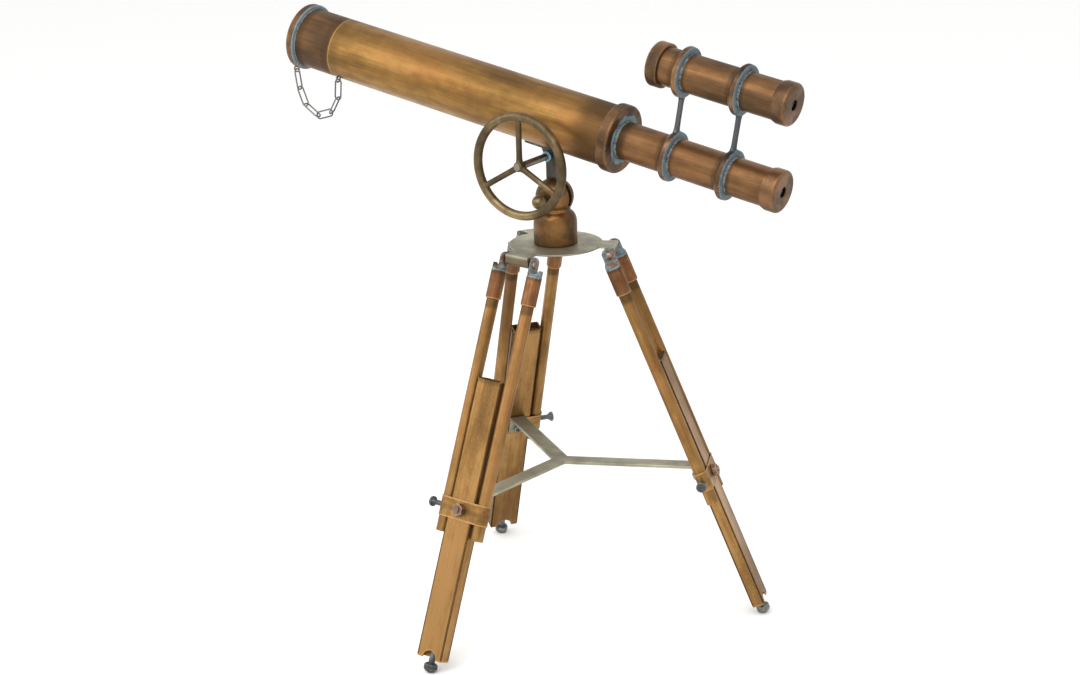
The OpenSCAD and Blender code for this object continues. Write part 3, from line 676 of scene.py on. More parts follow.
def finder_copper():
    """Finder tube: brushed, with painted shade beside its rings, and its bore painted near-black as painted
    shade.
    """
    rings = seams("finder_bracket_front", "finder_bracket_rear")
    far = seams("finder_bracket_front", "finder_bracket_rear", end=1)
    inner = span("draw_tube", TUBE)[1].z - 0.6 * MM
    return aged_metal("brushed_finder_copper", shades("draw"), stretch=30, stain=0.6, bore=inner,
                      blues=[(t + 1 * MM, 2.4 * MM, 0.6) for t in far],
                      joint_shade=[(t, 9 * MM, 0.7) for t in rings + far])


def rod_copper():
    """Leg rods: brushed along the leg with olive-dark stretches, and a band of painted shade 42 mm down from
    the hinge.
    """
    return aged_metal("brushed_rod_copper", shades("leg"), stretch=34, wear=0.6, stain=0.6,
                      joint_shade=[(0.042, 10 * MM, 0.8)])


def plank_copper():
    """Sliding planks: brushed along the leg, bright along the edges, with painted shade at their top end."""
    top = span("sliding_plank_1", LEG[1])[0].x
    return aged_metal("brushed_plank_copper", shades("leg"), stretch=44, wear=0.7, stain=0.4,
                      joint_shade=[(top, 8 * MM, 0.5)])


def ferrule_copper():
    """Ferrules: redder than the rods, with a painted highlight at the lower rim, and painted shade and
    verdigris at the upper end.
    """
    low, high = span("leg_ferrules_1", LEG[1])
    return aged_metal("ferrule_copper", shades("red"), stretch=14, wear=0.8, stain=0.5,
                      painted_highlights=[(high.x, 1.8 * MM, 0.7)], joint_shade=[(low.x, 8 * MM, 0.7)],
                      blues=[(low.x, 4 * MM, 0.7)])


def trim_bronze():
    """Caps, collar and bezel: dark turned bronze with worn edges."""
    return aged_metal("dark_trim_bronze", shades("trim"), brush=0.7, stretch=0.25, wear=0.6, stain=0.5)


def eye_bronze():
    """Eyepieces: as the trim, with the sight hole painted near-black as painted shade."""
    return aged_metal("eye_bronze", shades("trim"), brush=0.7, stretch=0.25, wear=0.6, stain=0.5,
                      bore=5.1 * MM)


def collar_bronze():
    """Rear collar: dark turned bronze, with verdigris on the face round the draw tube."""
    inner = span("draw_tube", TUBE)[1].z
    return aged_metal("collar_bronze", shades("trim"), brush=0.7, stretch=0.25, wear=0.6, stain=0.5,
                      rounds=[(inner + 1.5 * MM, 7 * MM, 0.75)])


def ring_bronze():
    """Finder rings and struts: dark bronze, blue-grey in the corners and on their rear faces."""
    backs = seams("finder_bracket_front", "finder_bracket_rear", end=1)
    low, high = span("draw_tube", TUBE)[1].z, span("finder_tube", TUBE)[0].z
    return aged_metal("ring_bronze", shades("trim"), brush=0.5, stretch=1, wear=0.6, crust=0.12,
                      blues=[(t + 0.3 * MM, 1.7 * MM, 0.8) for t in backs],
                      blue_tones=(tone(112, 134, 142), tone(76, 90, 98)),
                      tint=(low + 3 * MM, high - 3 * MM, tone(74, 82, 90)))


def wheel_brass():
    """Hand wheel: olive brass rubbed bright by hands."""
    return aged_metal("wheel_brass", shades("brass"), brush=0.45, stretch=1, wear=0.55)


def knob_brass():
    """Tilt knob: olive brass."""
    return aged_metal("knob_brass", shades("brass"), brush=0.4, stretch=1, wear=0.5)


def head_copper():
    """Head: orange copper patches on dark olive, with painted shade at its foot on the plate."""
    return aged_metal("head_copper", shades("head"), brush=0.35, stretch=1, wear=0.6, crust=0.08,
                      joint_shade=[(0.0, 4 * MM, 0.7)])


def strap_bronze():
    """Strap and saddle: grey-brown."""
    return aged_metal("strap_bronze", shades("strap"), brush=0.5, stretch=2, wear=0.5, crust=0.22,
                      blues=[(0.0, 16 * MM, 0.6)])


def weld_blue():
    """Weld: thick verdigris."""
    return aged_metal("weld_verdigris", shades("steel"), brush=0.3, stretch=1, crust=1.1,
                      blue_tones=(tone(150, 200, 220), tone(70, 132, 158)))


def lug_verdigris():
    """Lugs at the hinges: blue-green crust over dark bronze."""
    return aged_metal("lug_verdigris", shades("trim"), brush=0.4, stretch=1, crust=0.55, wear=0.5,
                      blue_tones=(tone(112, 144, 156), tone(62, 86, 98)))


def bolt_bronze():
    """Bolts and nuts: mauve-brown bronze, bright on the edges."""
    return aged_metal("bolt_bronze", shades("bolt"), brush=0.4, stretch=1, wear=0.8)


def band_copper():
    """Clamp bands: olive gold with bright edges, and a narrow band of painted shade 240 mm down the leg."""
    return aged_metal("band_copper", shades("leg"), brush=0.5, stretch=1, wear=0.9,
                      joint_shade=[(0.24, 4 * MM, 0.4)])


def plate_pewter():
    """Top plate: grey-olive, browner below its top face: the hinge leaves' own brown, with painted shade on
    the plate's rim edge.
    """
    return aged_metal("plate_pewter", shades("plate"), brush=0.4, stretch=1, wear=0.2, crust=0.1,
                      # Below the top face: the hinge leaves' own brown, and painted shade darkening the rim
                      # edge.
                      tint=(-30 * MM, -0.5 * MM, tone(98, 82, 64)),
                      rough=(0.42, 0.62), blue_tones=(tone(150, 165, 160), tone(110, 122, 116)))


def spreader_pewter():
    """Spreader: grey plate."""
    return aged_metal("spreader_pewter", shades("plate"), brush=0.4, stretch=1, wear=0.2, crust=0.14,
                      rough=(0.42, 0.62), blue_tones=(tone(140, 142, 136), tone(104, 108, 104)))


def screw_steel():
    """Thumb screws and feet: dark blue-grey steel."""
    return aged_metal("screw_steel", shades("steel"), brush=0.5, stretch=0.5, wear=0.8, crust=0.2,
                      blue_tones=(tone(120, 140, 148), tone(80, 98, 106)))


def shaft_steel():
    """Wheel shaft: mauve-grey steel, blue at its far end."""
    return aged_metal("shaft_steel", shades("strap"), brush=0.5, stretch=1, wear=0.5, crust=0.15)


def chain_steel():
    """Chain and staples: dark grey wire."""
    return aged_metal("chain_steel", shades("chain"), brush=0.4, stretch=1, wear=0.8)


def hidden_brass():
    """Parts inside the tubes: plain dull brass."""
    return aged_metal("dull_brass", shades("brass"), brush=0.4, stretch=1, wear=0.2, rough=(0.45, 0.65))


MAKERS = {
    "tube": tube_copper, "cell": cell_copper, "cap": cap_bronze, "draw": draw_copper,
    "finder": finder_copper, "rod": rod_copper, "plank": plank_copper, "ferrule": ferrule_copper,
    "trim": trim_bronze, "eye": eye_bronze, "collar": collar_bronze,
    "ring": ring_bronze, "wheel": wheel_brass, "knob": knob_brass, "head": head_copper,
    "strap": strap_bronze, "weld": weld_blue, "lug": lug_verdigris, "bolt": bolt_bronze,
    "band": band_copper, "plate": plate_pewter, "spreader": spreader_pewter, "screw": screw_steel,
    "shaft": shaft_steel,
    "chain": chain_steel, "hidden": hidden_brass, "glass": glass,
}
MADE = {}


def finish_called(key):
    """A finish's material, made the first time that it is asked for."""
    if key not in MADE:
        MADE[key] = MAKERS[key]()
    return MADE[key]


FINISHES = {key: (lambda key=key: finish_called(key)) for key in MAKERS}


# ---- Settings ----


def colour_setting(name, description, red, green, blue):
    return bpy.props.FloatVectorProperty(name=name, description=description, subtype="COLOR", size=3,
                                         min=0, max=1, default=tone(red, green, blue))


def size_setting(name, description, millimetres):
    return bpy.props.FloatProperty(name=name, description=description, default=millimetres * MM,
                                   min=0, unit="LENGTH", subtype="DISTANCE", precision=5)


class TelescopeShape(bpy.types.PropertyGroup):
    """Fine sizes that the finished pieces add to the CAD."""

    lip: size_setting("Lip rounding", "Rounding of the tubes' end lips", 0.45)
    cast_grain: size_setting("Casting grain", "Grain at which cast and welded parts are melted together", 0.5)
    fine_grain: size_setting("Fine grain", "Grain of the small cast parts", 0.36)
    plank_edge: size_setting("Plank edge", "Rounding of the planks' edges", 1.1)
    band_edge: size_setting("Band edge", "Rounding of the clamp bands' edges", 0.4)
    dents: size_setting("Unevenness", "Depth of the unevenness of cast parts", 0.12)


class TelescopeFinish(bpy.types.PropertyGroup):
    """Colours of the metals."""

    copper_dark: colour_setting("Copper, dark", "Darkest streaks of the tubes", 100, 72, 40)
    copper_middle: colour_setting("Copper, middle", "Middle shade of the tubes", 132, 98, 50)
    copper_bright: colour_setting("Copper, bright", "Brightest streaks of the tubes", 164, 128, 72)
    draw_dark: colour_setting("Draw copper, dark", "Darkest streaks of the draw tube and finder", 76, 56, 38)
    draw_middle: colour_setting("Draw copper, middle", "Middle shade of the draw tube and finder", 108, 78,
                                49)
    draw_bright: colour_setting("Draw copper, bright", "Brightest streaks of the draw tube and finder", 140,
                                104, 64)
    leg_dark: colour_setting("Leg copper, dark", "Darkest streaks of the legs", 104, 74, 40)
    leg_middle: colour_setting("Leg copper, middle", "Middle shade of the legs", 138, 102, 56)
    leg_bright: colour_setting("Leg copper, bright", "Brightest streaks of the legs", 172, 136, 82)
    red_dark: colour_setting("Ferrule, dark", "Darkest shade of the ferrules", 84, 54, 34)
    red_middle: colour_setting("Ferrule, middle", "Middle shade of the ferrules", 120, 82, 50)
    red_bright: colour_setting("Ferrule, bright", "Brightest shade of the ferrules", 164, 118, 78)
    trim_dark: colour_setting("Trim bronze, dark", "Darkest shade of the caps and collars", 60, 46, 34)
    trim_middle: colour_setting("Trim bronze, middle", "Middle shade of the caps and collars", 94, 70, 48)
    trim_bright: colour_setting("Trim bronze, bright", "Brightest shade of the caps and collars", 136, 102,
                                70)
    brass_dark: colour_setting("Brass, dark", "Darkest shade of the wheel", 66, 55, 38)
    brass_middle: colour_setting("Brass, middle", "Middle shade of the wheel", 96, 80, 55)
    brass_bright: colour_setting("Brass, bright", "Brightest shade of the wheel", 136, 116, 82)
    head_dark: colour_setting("Head, dark", "Darkest shade of the head", 62, 50, 36)
    head_middle: colour_setting("Head, middle", "Middle shade of the head", 92, 68, 42)
    head_bright: colour_setting("Head, bright", "Brightest shade of the head", 138, 96, 52)
    strap_dark: colour_setting("Strap, dark", "Darkest shade of the strap", 66, 62, 56)
    strap_middle: colour_setting("Strap, middle", "Middle shade of the strap", 96, 90, 80)
    strap_bright: colour_setting("Strap, bright", "Brightest shade of the strap", 130, 122, 108)
    bolt_dark: colour_setting("Bolts, dark", "Darkest shade of the bolts", 88, 68, 56)
    bolt_middle: colour_setting("Bolts, middle", "Middle shade of the bolts", 136, 112, 94)
    bolt_bright: colour_setting("Bolts, bright", "Brightest shade of the bolts", 178, 154, 134)
    plate_dark: colour_setting("Plate, dark", "Darkest shade of the plate", 132, 128, 112)
    plate_middle: colour_setting("Plate, middle", "Middle shade of the plate", 156, 152, 132)
    plate_bright: colour_setting("Plate, bright", "Brightest shade of the plate", 176, 172, 150)
    steel_dark: colour_setting("Steel, dark", "Darkest shade of the screws", 48, 50, 52)
    steel_middle: colour_setting("Steel, middle", "Middle shade of the screws", 94, 96, 94)
    steel_bright: colour_setting("Steel, bright", "Brightest shade of the screws", 146, 148, 144)
    chain_dark: colour_setting("Chain, dark", "Darkest shade of the chain", 34, 34, 34)
    chain_middle: colour_setting("Chain, middle", "Middle shade of the chain", 66, 66, 64)
    chain_bright: colour_setting("Chain, bright", "Brightest shade of the chain", 112, 112, 108)
    stain: colour_setting("Stain", "What the reddish-brown clouds multiply the metal by", 214, 176, 168)
    # Colour of the painted shade in corners and beside joins, also used for the random dirt patches.
    grime_and_shade_colour: colour_setting("Grime", "What darkens the corners", 62, 46, 28)
    verdigris_pale: colour_setting("Verdigris, pale", "Pale powder of the verdigris", 128, 150, 156)
    verdigris_deep: colour_setting("Verdigris, deep", "Deep tone of the verdigris", 82, 102, 112)


class TelescopeStage(bpy.types.PropertyGroup):
    """Camera and light."""

    camera_place: bpy.props.FloatVectorProperty(
        name="Camera place", description="Where the camera stands", subtype="TRANSLATION", unit="LENGTH",
        default=(1.18503, -1.77608, 0.96442))
    camera_turn: bpy.props.FloatProperty(
        name="Turn", description="How far the camera is turned from the Y axis", subtype="ANGLE",
        unit="ROTATION",
        default=math.radians(34.19))
    camera_fall: bpy.props.FloatProperty(
        name="Fall", description="How far the camera looks down", subtype="ANGLE", unit="ROTATION",
        default=math.radians(17.77))
    camera_roll: bpy.props.FloatProperty(
        name="Roll", description="How far the camera leans", subtype="ANGLE", unit="ROTATION",
        default=math.radians(-1.65))
    camera_lens: bpy.props.FloatProperty(
        name="Lens", description="Focal length for a 36 mm wide sensor", default=77.05, unit="CAMERA")
    key_power: bpy.props.FloatProperty(
        name="Key light", description="Power of the large light above the camera", default=30.0, unit="POWER")
    side_power: bpy.props.FloatProperty(
        name="Side light", description="Power of the light on the left", default=12.0, unit="POWER")
    room: bpy.props.FloatProperty(
        name="Room light", description="Strength of the even light of the room", default=1.0)
    floor: colour_setting("Floor", "Colour of the floor", 250, 250, 249)


# ---- Pieces ----


class Builder(bpy.types.Operator):
    """Common to all the piece operators."""

    bl_idname = "telescope.builder"
    bl_label = "Builder"
    bl_options = {"REGISTER", "UNDO"}

    @property
    def sizes(self):
        return bpy.context.scene.telescope_shape


class BuildMainTube(Builder):
    """Main tube, objective cell and rear collar."""

    bl_idname = "telescope.main_tube"
    bl_label = "Main tube"

    def execute(self, context):
        lip = self.sizes.lip
        low, high = span("main_tube", TUBE)
        outer = high.z
        inner = span("guide_bush", TUBE)[1].z
        Shape(TUBE).turn(sleeve(low.x, high.x, outer, inner, lip)).finish(
            "long_tube", "tube", "telescope", "main_tube", gain=6)
        cell_low, cell_high = span("objective_cell", TUBE)
        seat, bore = span("objective_lens", TUBE)[1].x, span("objective_lens", TUBE)[1].z
        Shape(TUBE).turn([
            (cell_low.x, bore, 0.4 * MM), (cell_low.x, outer, lip), (low.x, outer, lip),
            (low.x, inner, 0.2 * MM), (cell_high.x, inner, 0.5 * MM),
            (cell_high.x, bore - 1.6 * MM, 0.3 * MM),
            (seat, bore - 1.6 * MM, 0.3 * MM), (seat, bore, 0)]).finish(
            "front_cell", "cell", "telescope", "objective_cell", gain=6)
        low, high = span("rear_collar", TUBE)
        face = span("main_tube", TUBE)[1].x
        hole = span("draw_tube", TUBE)[1].z + 0.3 * MM
        Shape(TUBE).turn([
            (low.x, outer, 0.15 * MM), (low.x, high.z, 2.2 * MM), (high.x, high.z, 2.2 * MM),
            (high.x, hole, 0.6 * MM), (face, hole, 0.2 * MM), (face, outer, 0)], step=1.2 * MM).finish(
            "round_collar", "collar", "telescope", "rear_collar", gain=5)
        return {"FINISHED"}


class BuildCap(Builder):
    """Objective cap with its eye, the staple under the tube and the chain between them."""

    bl_idname = "telescope.cap"
    bl_label = "Cap and chain"

    def execute(self, context):
        low, high = span("objective_cap", TUBE)
        radius = high.z
        shell = span("main_tube", TUBE)[1].z + 0.1 * MM
        face = low.x + 3.1 * MM
        cap = Shape(TUBE).turn([
            (low.x + 0.8 * MM, 0, 0), (low.x + 0.8 * MM, radius - 5 * MM, 0.5 * MM),
            (low.x, radius - 4.7 * MM, 0.5 * MM), (low.x, radius, 2.4 * MM), (high.x, radius, 1.2 * MM),
            (high.x, shell, 0.35 * MM), (face, shell, 0.4 * MM), (face, 0, 0)], step=1.5 * MM)
        eye = self.eye_of("objective_cap", radius)
        cap.wire(self.hoop(eye, False), 0.8 * MM, closed=True)
        cap.ball(1.9 * MM, Matrix.Translation(eye + Vector((0, 0, 2.6 * MM))), (1.2, 1, 0.5))
        cap.finish("front_cap", "cap", "cap", "objective_cap", gain=5)
        low, high = span("chain_staple", TUBE)
        eye = Vector(((low.x + high.x) / 2, low.y + 3.7 * MM, low.z + 3.7 * MM))
        staple = Shape(TUBE).wire(self.hoop(eye, True), 0.8 * MM, closed=True)
        for side in (-1, 1):
            staple.ball(1.3 * MM, Matrix.Translation(eye + Vector((0, side * 2.3 * MM, 2 * MM))), (1, 1, 0.6))
        staple.finish("tube_staple", "chain", "telescope", "chain_staple")
        self.chain()
        return {"FINISHED"}

    def eye_of(self, node, radius):
        """The middle of the hoop that stands below a cap."""
        found = cad_points(node, TUBE)
        hoop = found[found[:, 2] < -radius - 0.3 * MM]
        middle = (hoop.min(0) + hoop.max(0)) / 2
        return Vector((middle[0], middle[1], hoop[:, 2].min() + 3.7 * MM))

    def hoop(self, middle, across):
        turns = [math.tau * j / 40 for j in range(40)]
        return [middle + 2.9 * MM * Vector((0 if across else math.cos(a), math.cos(a) if across else 0,
                                            math.sin(a)))
                for a in turns]

    def chain(self):
        """Six oval links of wire, each twisted a quarter turn against the next."""
        part = bmesh.new()
        part.from_mesh(frame["nodes"]["cap_chain"].data)
        bmesh.ops.remove_doubles(part, verts=part.verts, dist=1e-6)
        left, whole = set(part.verts), Shape()
        while left:
            group, edge = set(), [next(iter(left))]
            while edge:
                vert = edge.pop()
                if vert in group:
                    continue
                group.add(vert)
                edge += [e.other_vert(vert) for e in vert.link_edges]
            left -= group
            found = np.array(sorted(tuple(v.co) for v in group))
            middle = found.mean(0)
            axes = np.linalg.svd(found - middle, full_matrices=False)[2]
            sizes = [np.ptp((found - middle) @ axis) for axis in axes]
            place = frame_of(Vector(middle), axes[0], axes[2])
            self.link(whole, place, sizes)
        part.free()
        chain = whole.finish("oval_chain", "chain", "telescope", "cap_chain")
        chain.parent = None
        del chain["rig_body"]
        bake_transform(chain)

    def link(self, whole, place, sizes):
        """One link: a hoop with straight sides."""
        wire = 0.8 * MM
        bend = sizes[1] / 2 - wire
        straight = sizes[0] - sizes[1]
        path = []
        for j in range(56):
            a = math.tau * (j + 0.5) / 56 - math.pi / 2
            side = 1 if j < 28 else -1
            path.append(Vector((side * straight / 2 + bend * math.cos(a), bend * math.sin(a), 0)))
        whole.wire(path, wire * 0.98, place, sides=14, closed=True)


class BuildDrawTube(Builder):
    """Draw tube with its eyepiece."""

    bl_idname = "telescope.draw_tube"
    bl_label = "Draw tube"

    def execute(self, context):
        low, high = span("draw_tube", TUBE)
        Shape(TUBE).turn(sleeve(low.x, high.x, high.z, high.z - 1.2 * MM, self.sizes.lip)).finish(
            "brushed_draw_tube", "draw", "draw", "draw_tube", gain=6)
        eyepiece(TUBE, "eyepiece_cap").finish("turned_eyepiece", "eye", "draw", "eyepiece_cap", gain=5)
        return {"FINISHED"}


def eyepiece(place, node):
    """A turned eyepiece: a short neck and a rounded cap with its sight hole."""
    low, high = span(node, place)
    tube = span("draw_tube", TUBE)[1].z
    radius = high.z
    neck = low.x + 2.6 * MM
    seat = high.x - 7 * MM
    hole = 4.75 * MM
    return Shape(place).turn([
        (low.x, tube, 0.1 * MM), (low.x, radius - 0.9 * MM, 0.5 * MM), (neck, radius - 0.9 * MM, 0.4 * MM),
        (neck, radius, 0.9 * MM),
        (high.x, radius, 3 * MM), (high.x, hole + 0.8 * MM, 0.3 * MM), (high.x - 0.9 * MM, hole, 0.3 * MM),
        (high.x - 3 * MM, hole, 0.2 * MM), (high.x - 3 * MM, 12 * MM, 0.1 * MM), (seat, 12 * MM, 0),
        (seat, tube, 0)], step=1.2 * MM)


class BuildFinder(Builder):
    """Finder: its two bracket rings with struts, tube, bezel and eyepiece."""

    bl_idname = "telescope.finder"
    bl_label = "Finder"

    def execute(self, context):
        lip = self.sizes.lip
        low, high = span("finder_tube", FINDER)
        Shape(FINDER).turn(sleeve(low.x, high.x, high.z, high.z - 1.2 * MM, lip)).finish(
            "brushed_finder_tube", "finder", "draw", "finder_tube", gain=6)
        low, high = span("finder_bezel", FINDER)
        tube = span("finder_tube", FINDER)[1].z
        hole = 15.5 * MM
        Shape(FINDER).turn([
            (low.x, hole, 0.5 * MM), (low.x, high.z, 2.4 * MM), (high.x, high.z, 1.2 * MM),
            (high.x, tube, 0.2 * MM), (low.x + 2 * MM, tube, 0), (low.x + 2 * MM, hole, 0.2 * MM)],
            step=1.2 * MM).finish("turned_bezel", "trim", "draw", "finder_bezel", gain=5)
        eyepiece(FINDER, "finder_eyepiece").finish(
            "turned_finder_eyepiece", "eye", "draw", "finder_eyepiece", gain=5)
        for node, name in (("finder_bracket_front", "front_ring_pair"),
                           ("finder_bracket_rear", "rear_ring_pair")):
            self.bracket(node, name, tube)
        return {"FINISHED"}

    def bracket(self, node, name, tube):
        """Two beaded rings and the strut that is brazed between them."""
        low, high = span(node, TUBE)
        rise = FINDER.inverted() @ TUBE.translation
        rise = -(rise.z)
        radius = high.z - rise
        bead = (radius - tube) / 2
        middle = (low.x + high.x) / 2
        shape = Shape(TUBE)
        for h in (0, rise):
            shape.turn([
                (low.x, tube - 0.02 * MM, 0.2 * MM), (low.x, tube + bead * 1.3, 1.1 * MM),
                (low.x + bead * 0.8, radius, 1.6 * MM),
                (low.x + bead * 2.2, radius - 0.5 * MM, 1 * MM), (high.x, radius - 1.2 * MM, 1 * MM),
                (high.x, tube - 0.02 * MM, 0.2 * MM)],
                Matrix.Translation((0, 0, h)), sides=160, step=1 * MM)
        foot, top = radius - 1 * MM, rise - radius + 1 * MM
        path, width = [], []
        for j in range(25):
            u = j / 24
            flare = math.exp(-u / 0.07) + math.exp(-(1 - u) / 0.07)
            path.append(Vector((middle, 0, foot + (top - foot) * u)))
            width.append((2.45 * MM + 2.3 * MM * flare, 2.7 * MM + 0.55 * MM * flare))
        shape.wire(path, width, sides=24)
        shape.fuse(self.sizes.cast_grain * 0.9, 3)
        shape.weather(self.sizes.dents * 0.8, 3 * MM, middle * 100)
        shape.finish(name, "ring", "draw", node, gain=3.2, sharp=180)


class BuildHead(Builder):
    """Head with its slot, the tilt screw and nut."""

    bl_idname = "telescope.head"
    bl_label = "Head"

    def execute(self, context):
        shape = Shape(upright(HEAD)).cad("head_post")
        shape.fuse(self.sizes.cast_grain, 4)
        shape.weather(self.sizes.dents, 5 * MM)
        shape.finish("cast_head", "head", "head", "head_post", gain=3.2, sharp=180)
        low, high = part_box("tilt_screw")
        axis = frame_of(((low.x + high.x) / 2, 0, (low.z + high.z) / 2), (0, 1, 0), (0, 0, 1))
        start, end = low.y, high.y
        ball = (high.z - low.z) / 2
        knob = start + ball
        neck, shank = 4.2 * MM, 3 * MM
        outline = [(start, 0, 0)]
        for j in range(1, 15):
            a = math.radians(10 * j)
            outline.append((knob - ball * math.cos(a), ball * math.sin(a), 0))
        outline += [(knob + ball * 0.8, neck, 0.8 * MM), (-16.5 * MM, neck, 0.4 * MM),
                    (-16.5 * MM, shank, 0.2 * MM),
                    (end, shank, 0.6 * MM), (end, 0, 0)]
        Shape(axis).turn(outline, sides=72, step=1 * MM).finish(
            "ball_knob", "knob", "tilt_knob", "tilt_screw", gain=4)
        low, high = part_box("tilt_nut")
        nut = Shape(axis)
        hex_nut(nut, low.y, high.y, (high.x - low.x) / 2, 3.05 * MM)
        nut.finish("tilt_hex_nut", "bolt", "head", "tilt_nut")
        return {"FINISHED"}


def upright(matrix):
    """The same place with X pointing up, so that brushing and rings run up the piece."""
    return frame_of(matrix.translation, (0, 0, 1), (0, -1, 0))


def hex_nut(shape, low, high, radius, hole=0.0):
    """A hexagonal nut along X: a turned blank with chamfered corners, its flats milled."""
    points = [(radius * math.cos(math.pi / 3 * j), radius * math.sin(math.pi / 3 * j)) for j in range(6)]
    place = frame_of((0, 0, 0), (0, 0, 1), (1, 0, 0)).to_4x4()
    shape.slab(points, low, high, 0.45 * MM, place)
    if hole:
        shape.turn(round_bar(high - 0.4 * MM, high + 0.02 * MM, hole + 0.6 * MM, 0.1 * MM), sides=48)


class BuildSaddle(Builder):
    """Strap and saddle under the tube, the wheel's shaft and its weld."""

    bl_idname = "telescope.saddle"
    bl_label = "Saddle and shaft"

    def execute(self, context):
        low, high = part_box("tube_bracket")
        place = upright(Matrix.Translation(((low.x + high.x) / 2, 0, low.z)))
        shape = Shape(place).cad("tube_bracket")
        shape.fuse(self.sizes.fine_grain, 4)
        shape.weather(self.sizes.dents, 3 * MM)
        shape.finish("welded_saddle", "strap", "telescope", "tube_bracket", gain=3.2, sharp=180)
        low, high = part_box("wheel_shaft")
        axis = frame_of(((low.x + high.x) / 2, 0, (low.z + high.z) / 2), (0, 1, 0), (0, 0, 1))
        weld = (high.x - low.x) / 2
        bar = 3.4 * MM
        Shape(axis).turn([
            (low.y, 0, 0), (low.y, bar, 0.6 * MM), (low.y + 1 * MM, bar, 0.2 * MM),
            (low.y + 1 * MM, 2.5 * MM, 0.1 * MM),
            (-45.9 * MM, 2.5 * MM, 0.1 * MM), (-45.9 * MM, bar, 0.3 * MM), (high.y, bar, 0.2 * MM),
            (high.y, 0, 0)],
            sides=64, step=1 * MM).finish("turned_shaft", "shaft", "telescope", gain=4)
        bead = Shape(axis)
        bead.ball(weld * 0.98, Matrix.Translation((high.y - 2.6 * MM, 0, 0)), (0.5, 0.98, 0.98))
        bead.ball(weld * 0.7, Matrix.Translation((high.y - 3 * MM, 1.2 * MM, 0.8 * MM)), (0.6, 0.9, 0.9))
        bead.fuse(self.sizes.fine_grain, 2).weather(0.5 * MM, 2.2 * MM, 3.0)
        bead.finish("shaft_weld", "weld", "telescope", "wheel_shaft", gain=2.5, sharp=180)
        return {"FINISHED"}


class BuildWheel(Builder):
    """Hand wheel with three spokes."""

    bl_idname = "telescope.wheel"
    bl_label = "Hand wheel"

    def execute(self, context):
        low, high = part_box("hand_wheel")
        middle = (low + high) / 2
        place = frame_of(middle, (0, 1, 0), (0, 0, 1))
        bar = (high.y - low.y) / 2
        hub = 4 * MM if bar > 4 * MM else bar
        rim = (high.x - low.x) / 2 - 4.3 * MM
        shape = Shape(place)
        turns = [math.tau * j / 180 for j in range(180)]
        shape.wire([Vector((0, rim * math.cos(a), rim * math.sin(a))) for a in turns], 4.3 * MM, sides=28,
                   closed=True)
        for a in (0, math.tau / 3, 2 * math.tau / 3):
            way = Vector((0, math.sin(a), math.cos(a)))
            path, width = [], []
            for j in range(41):
                u = j / 40
                flare = math.exp(-u / 0.06) + 0.5 * math.exp(-(1 - u) / 0.05)
                path.append(way * (3 * MM + (rim - 4 * MM) * u))
                width.append((2.85 * MM + 0.9 * MM * flare,) * 2)
            shape.wire(path, width, sides=20)
        shape.turn(round_bar(-hub, hub, 4.75 * MM, 0.9 * MM), sides=64, step=1 * MM)
        shape.fuse(self.sizes.cast_grain, 3)
        bore = Shape(place).turn(round_bar(-8 * MM, 8 * MM, 2.55 * MM, 0), sides=48)
        shape.cut(bore)
        shape.finish("spoked_wheel", "wheel", "wheel", "hand_wheel", gain=3.2, sharp=60)
        return {"FINISHED"}


class BuildPlate(Builder):
    """Top plate with its three hinge tabs."""

    bl_idname = "telescope.plate"
    bl_label = "Top plate"

    def execute(self, context):
        shape = Shape(HEAD).cad("top_plate")
        shape.fuse(self.sizes.cast_grain, 2)
        shape.finish("sheet_plate", "plate", "tripod", "top_plate", gain=3.0, sharp=180)
        return {"FINISHED"}


class BuildSpreader(Builder):
    """Spreader with its bent tabs and bolts."""

    bl_idname = "telescope.spreader"
    bl_label = "Spreader"

    def execute(self, context):
        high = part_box("spreader")[1]
        shape = Shape(Matrix.Translation((0, 0, high.z))).cad("spreader")
        shape.fuse(self.sizes.cast_grain, 2)
        shape.finish("flat_spreader", "spreader", "tripod", "spreader", gain=3.0, sharp=180)
        bolts = Shape(Matrix.Translation((0, 0, high.z)))
        back = bolts.matrix.inverted()
        for k in LEGS:
            band = clamp_middle(k)
            found = cad_points("spreader_bolts", band)
            near = found[np.linalg.norm(found[:, :2], axis=1) < 12 * MM]
            head = near[:, 2].min()
            out = frame_of((0, 0, 0), (0, 0, 1), (1, 0, 0))
            one = Shape(band)
            hex_nut(one, head, head + 3 * MM, 4.2 * MM)
            one.turn(round_bar(head - 0.02 * MM, near[:, 2].max(), 2.5 * MM, 0.3 * MM), sides=40)
            held = bpy.data.meshes.new("bolt")
            one.mesh.transform(out.to_4x4())
            one.mesh.to_mesh(held)
            held.transform(back @ band)
            bolts.mesh.from_mesh(held)
            bpy.data.meshes.remove(held)
        bolts.finish("spreader_hex_bolts", "screw", "tripod", "spreader_bolts")
        return {"FINISHED"}


def clamp_middle(k):
    """The frame in the middle of a leg's clamp band."""
    low, high = span(f"clamp_band_{k}", LEG[k])
    return shifted(LEG[k], (low.x + high.x) / 2)


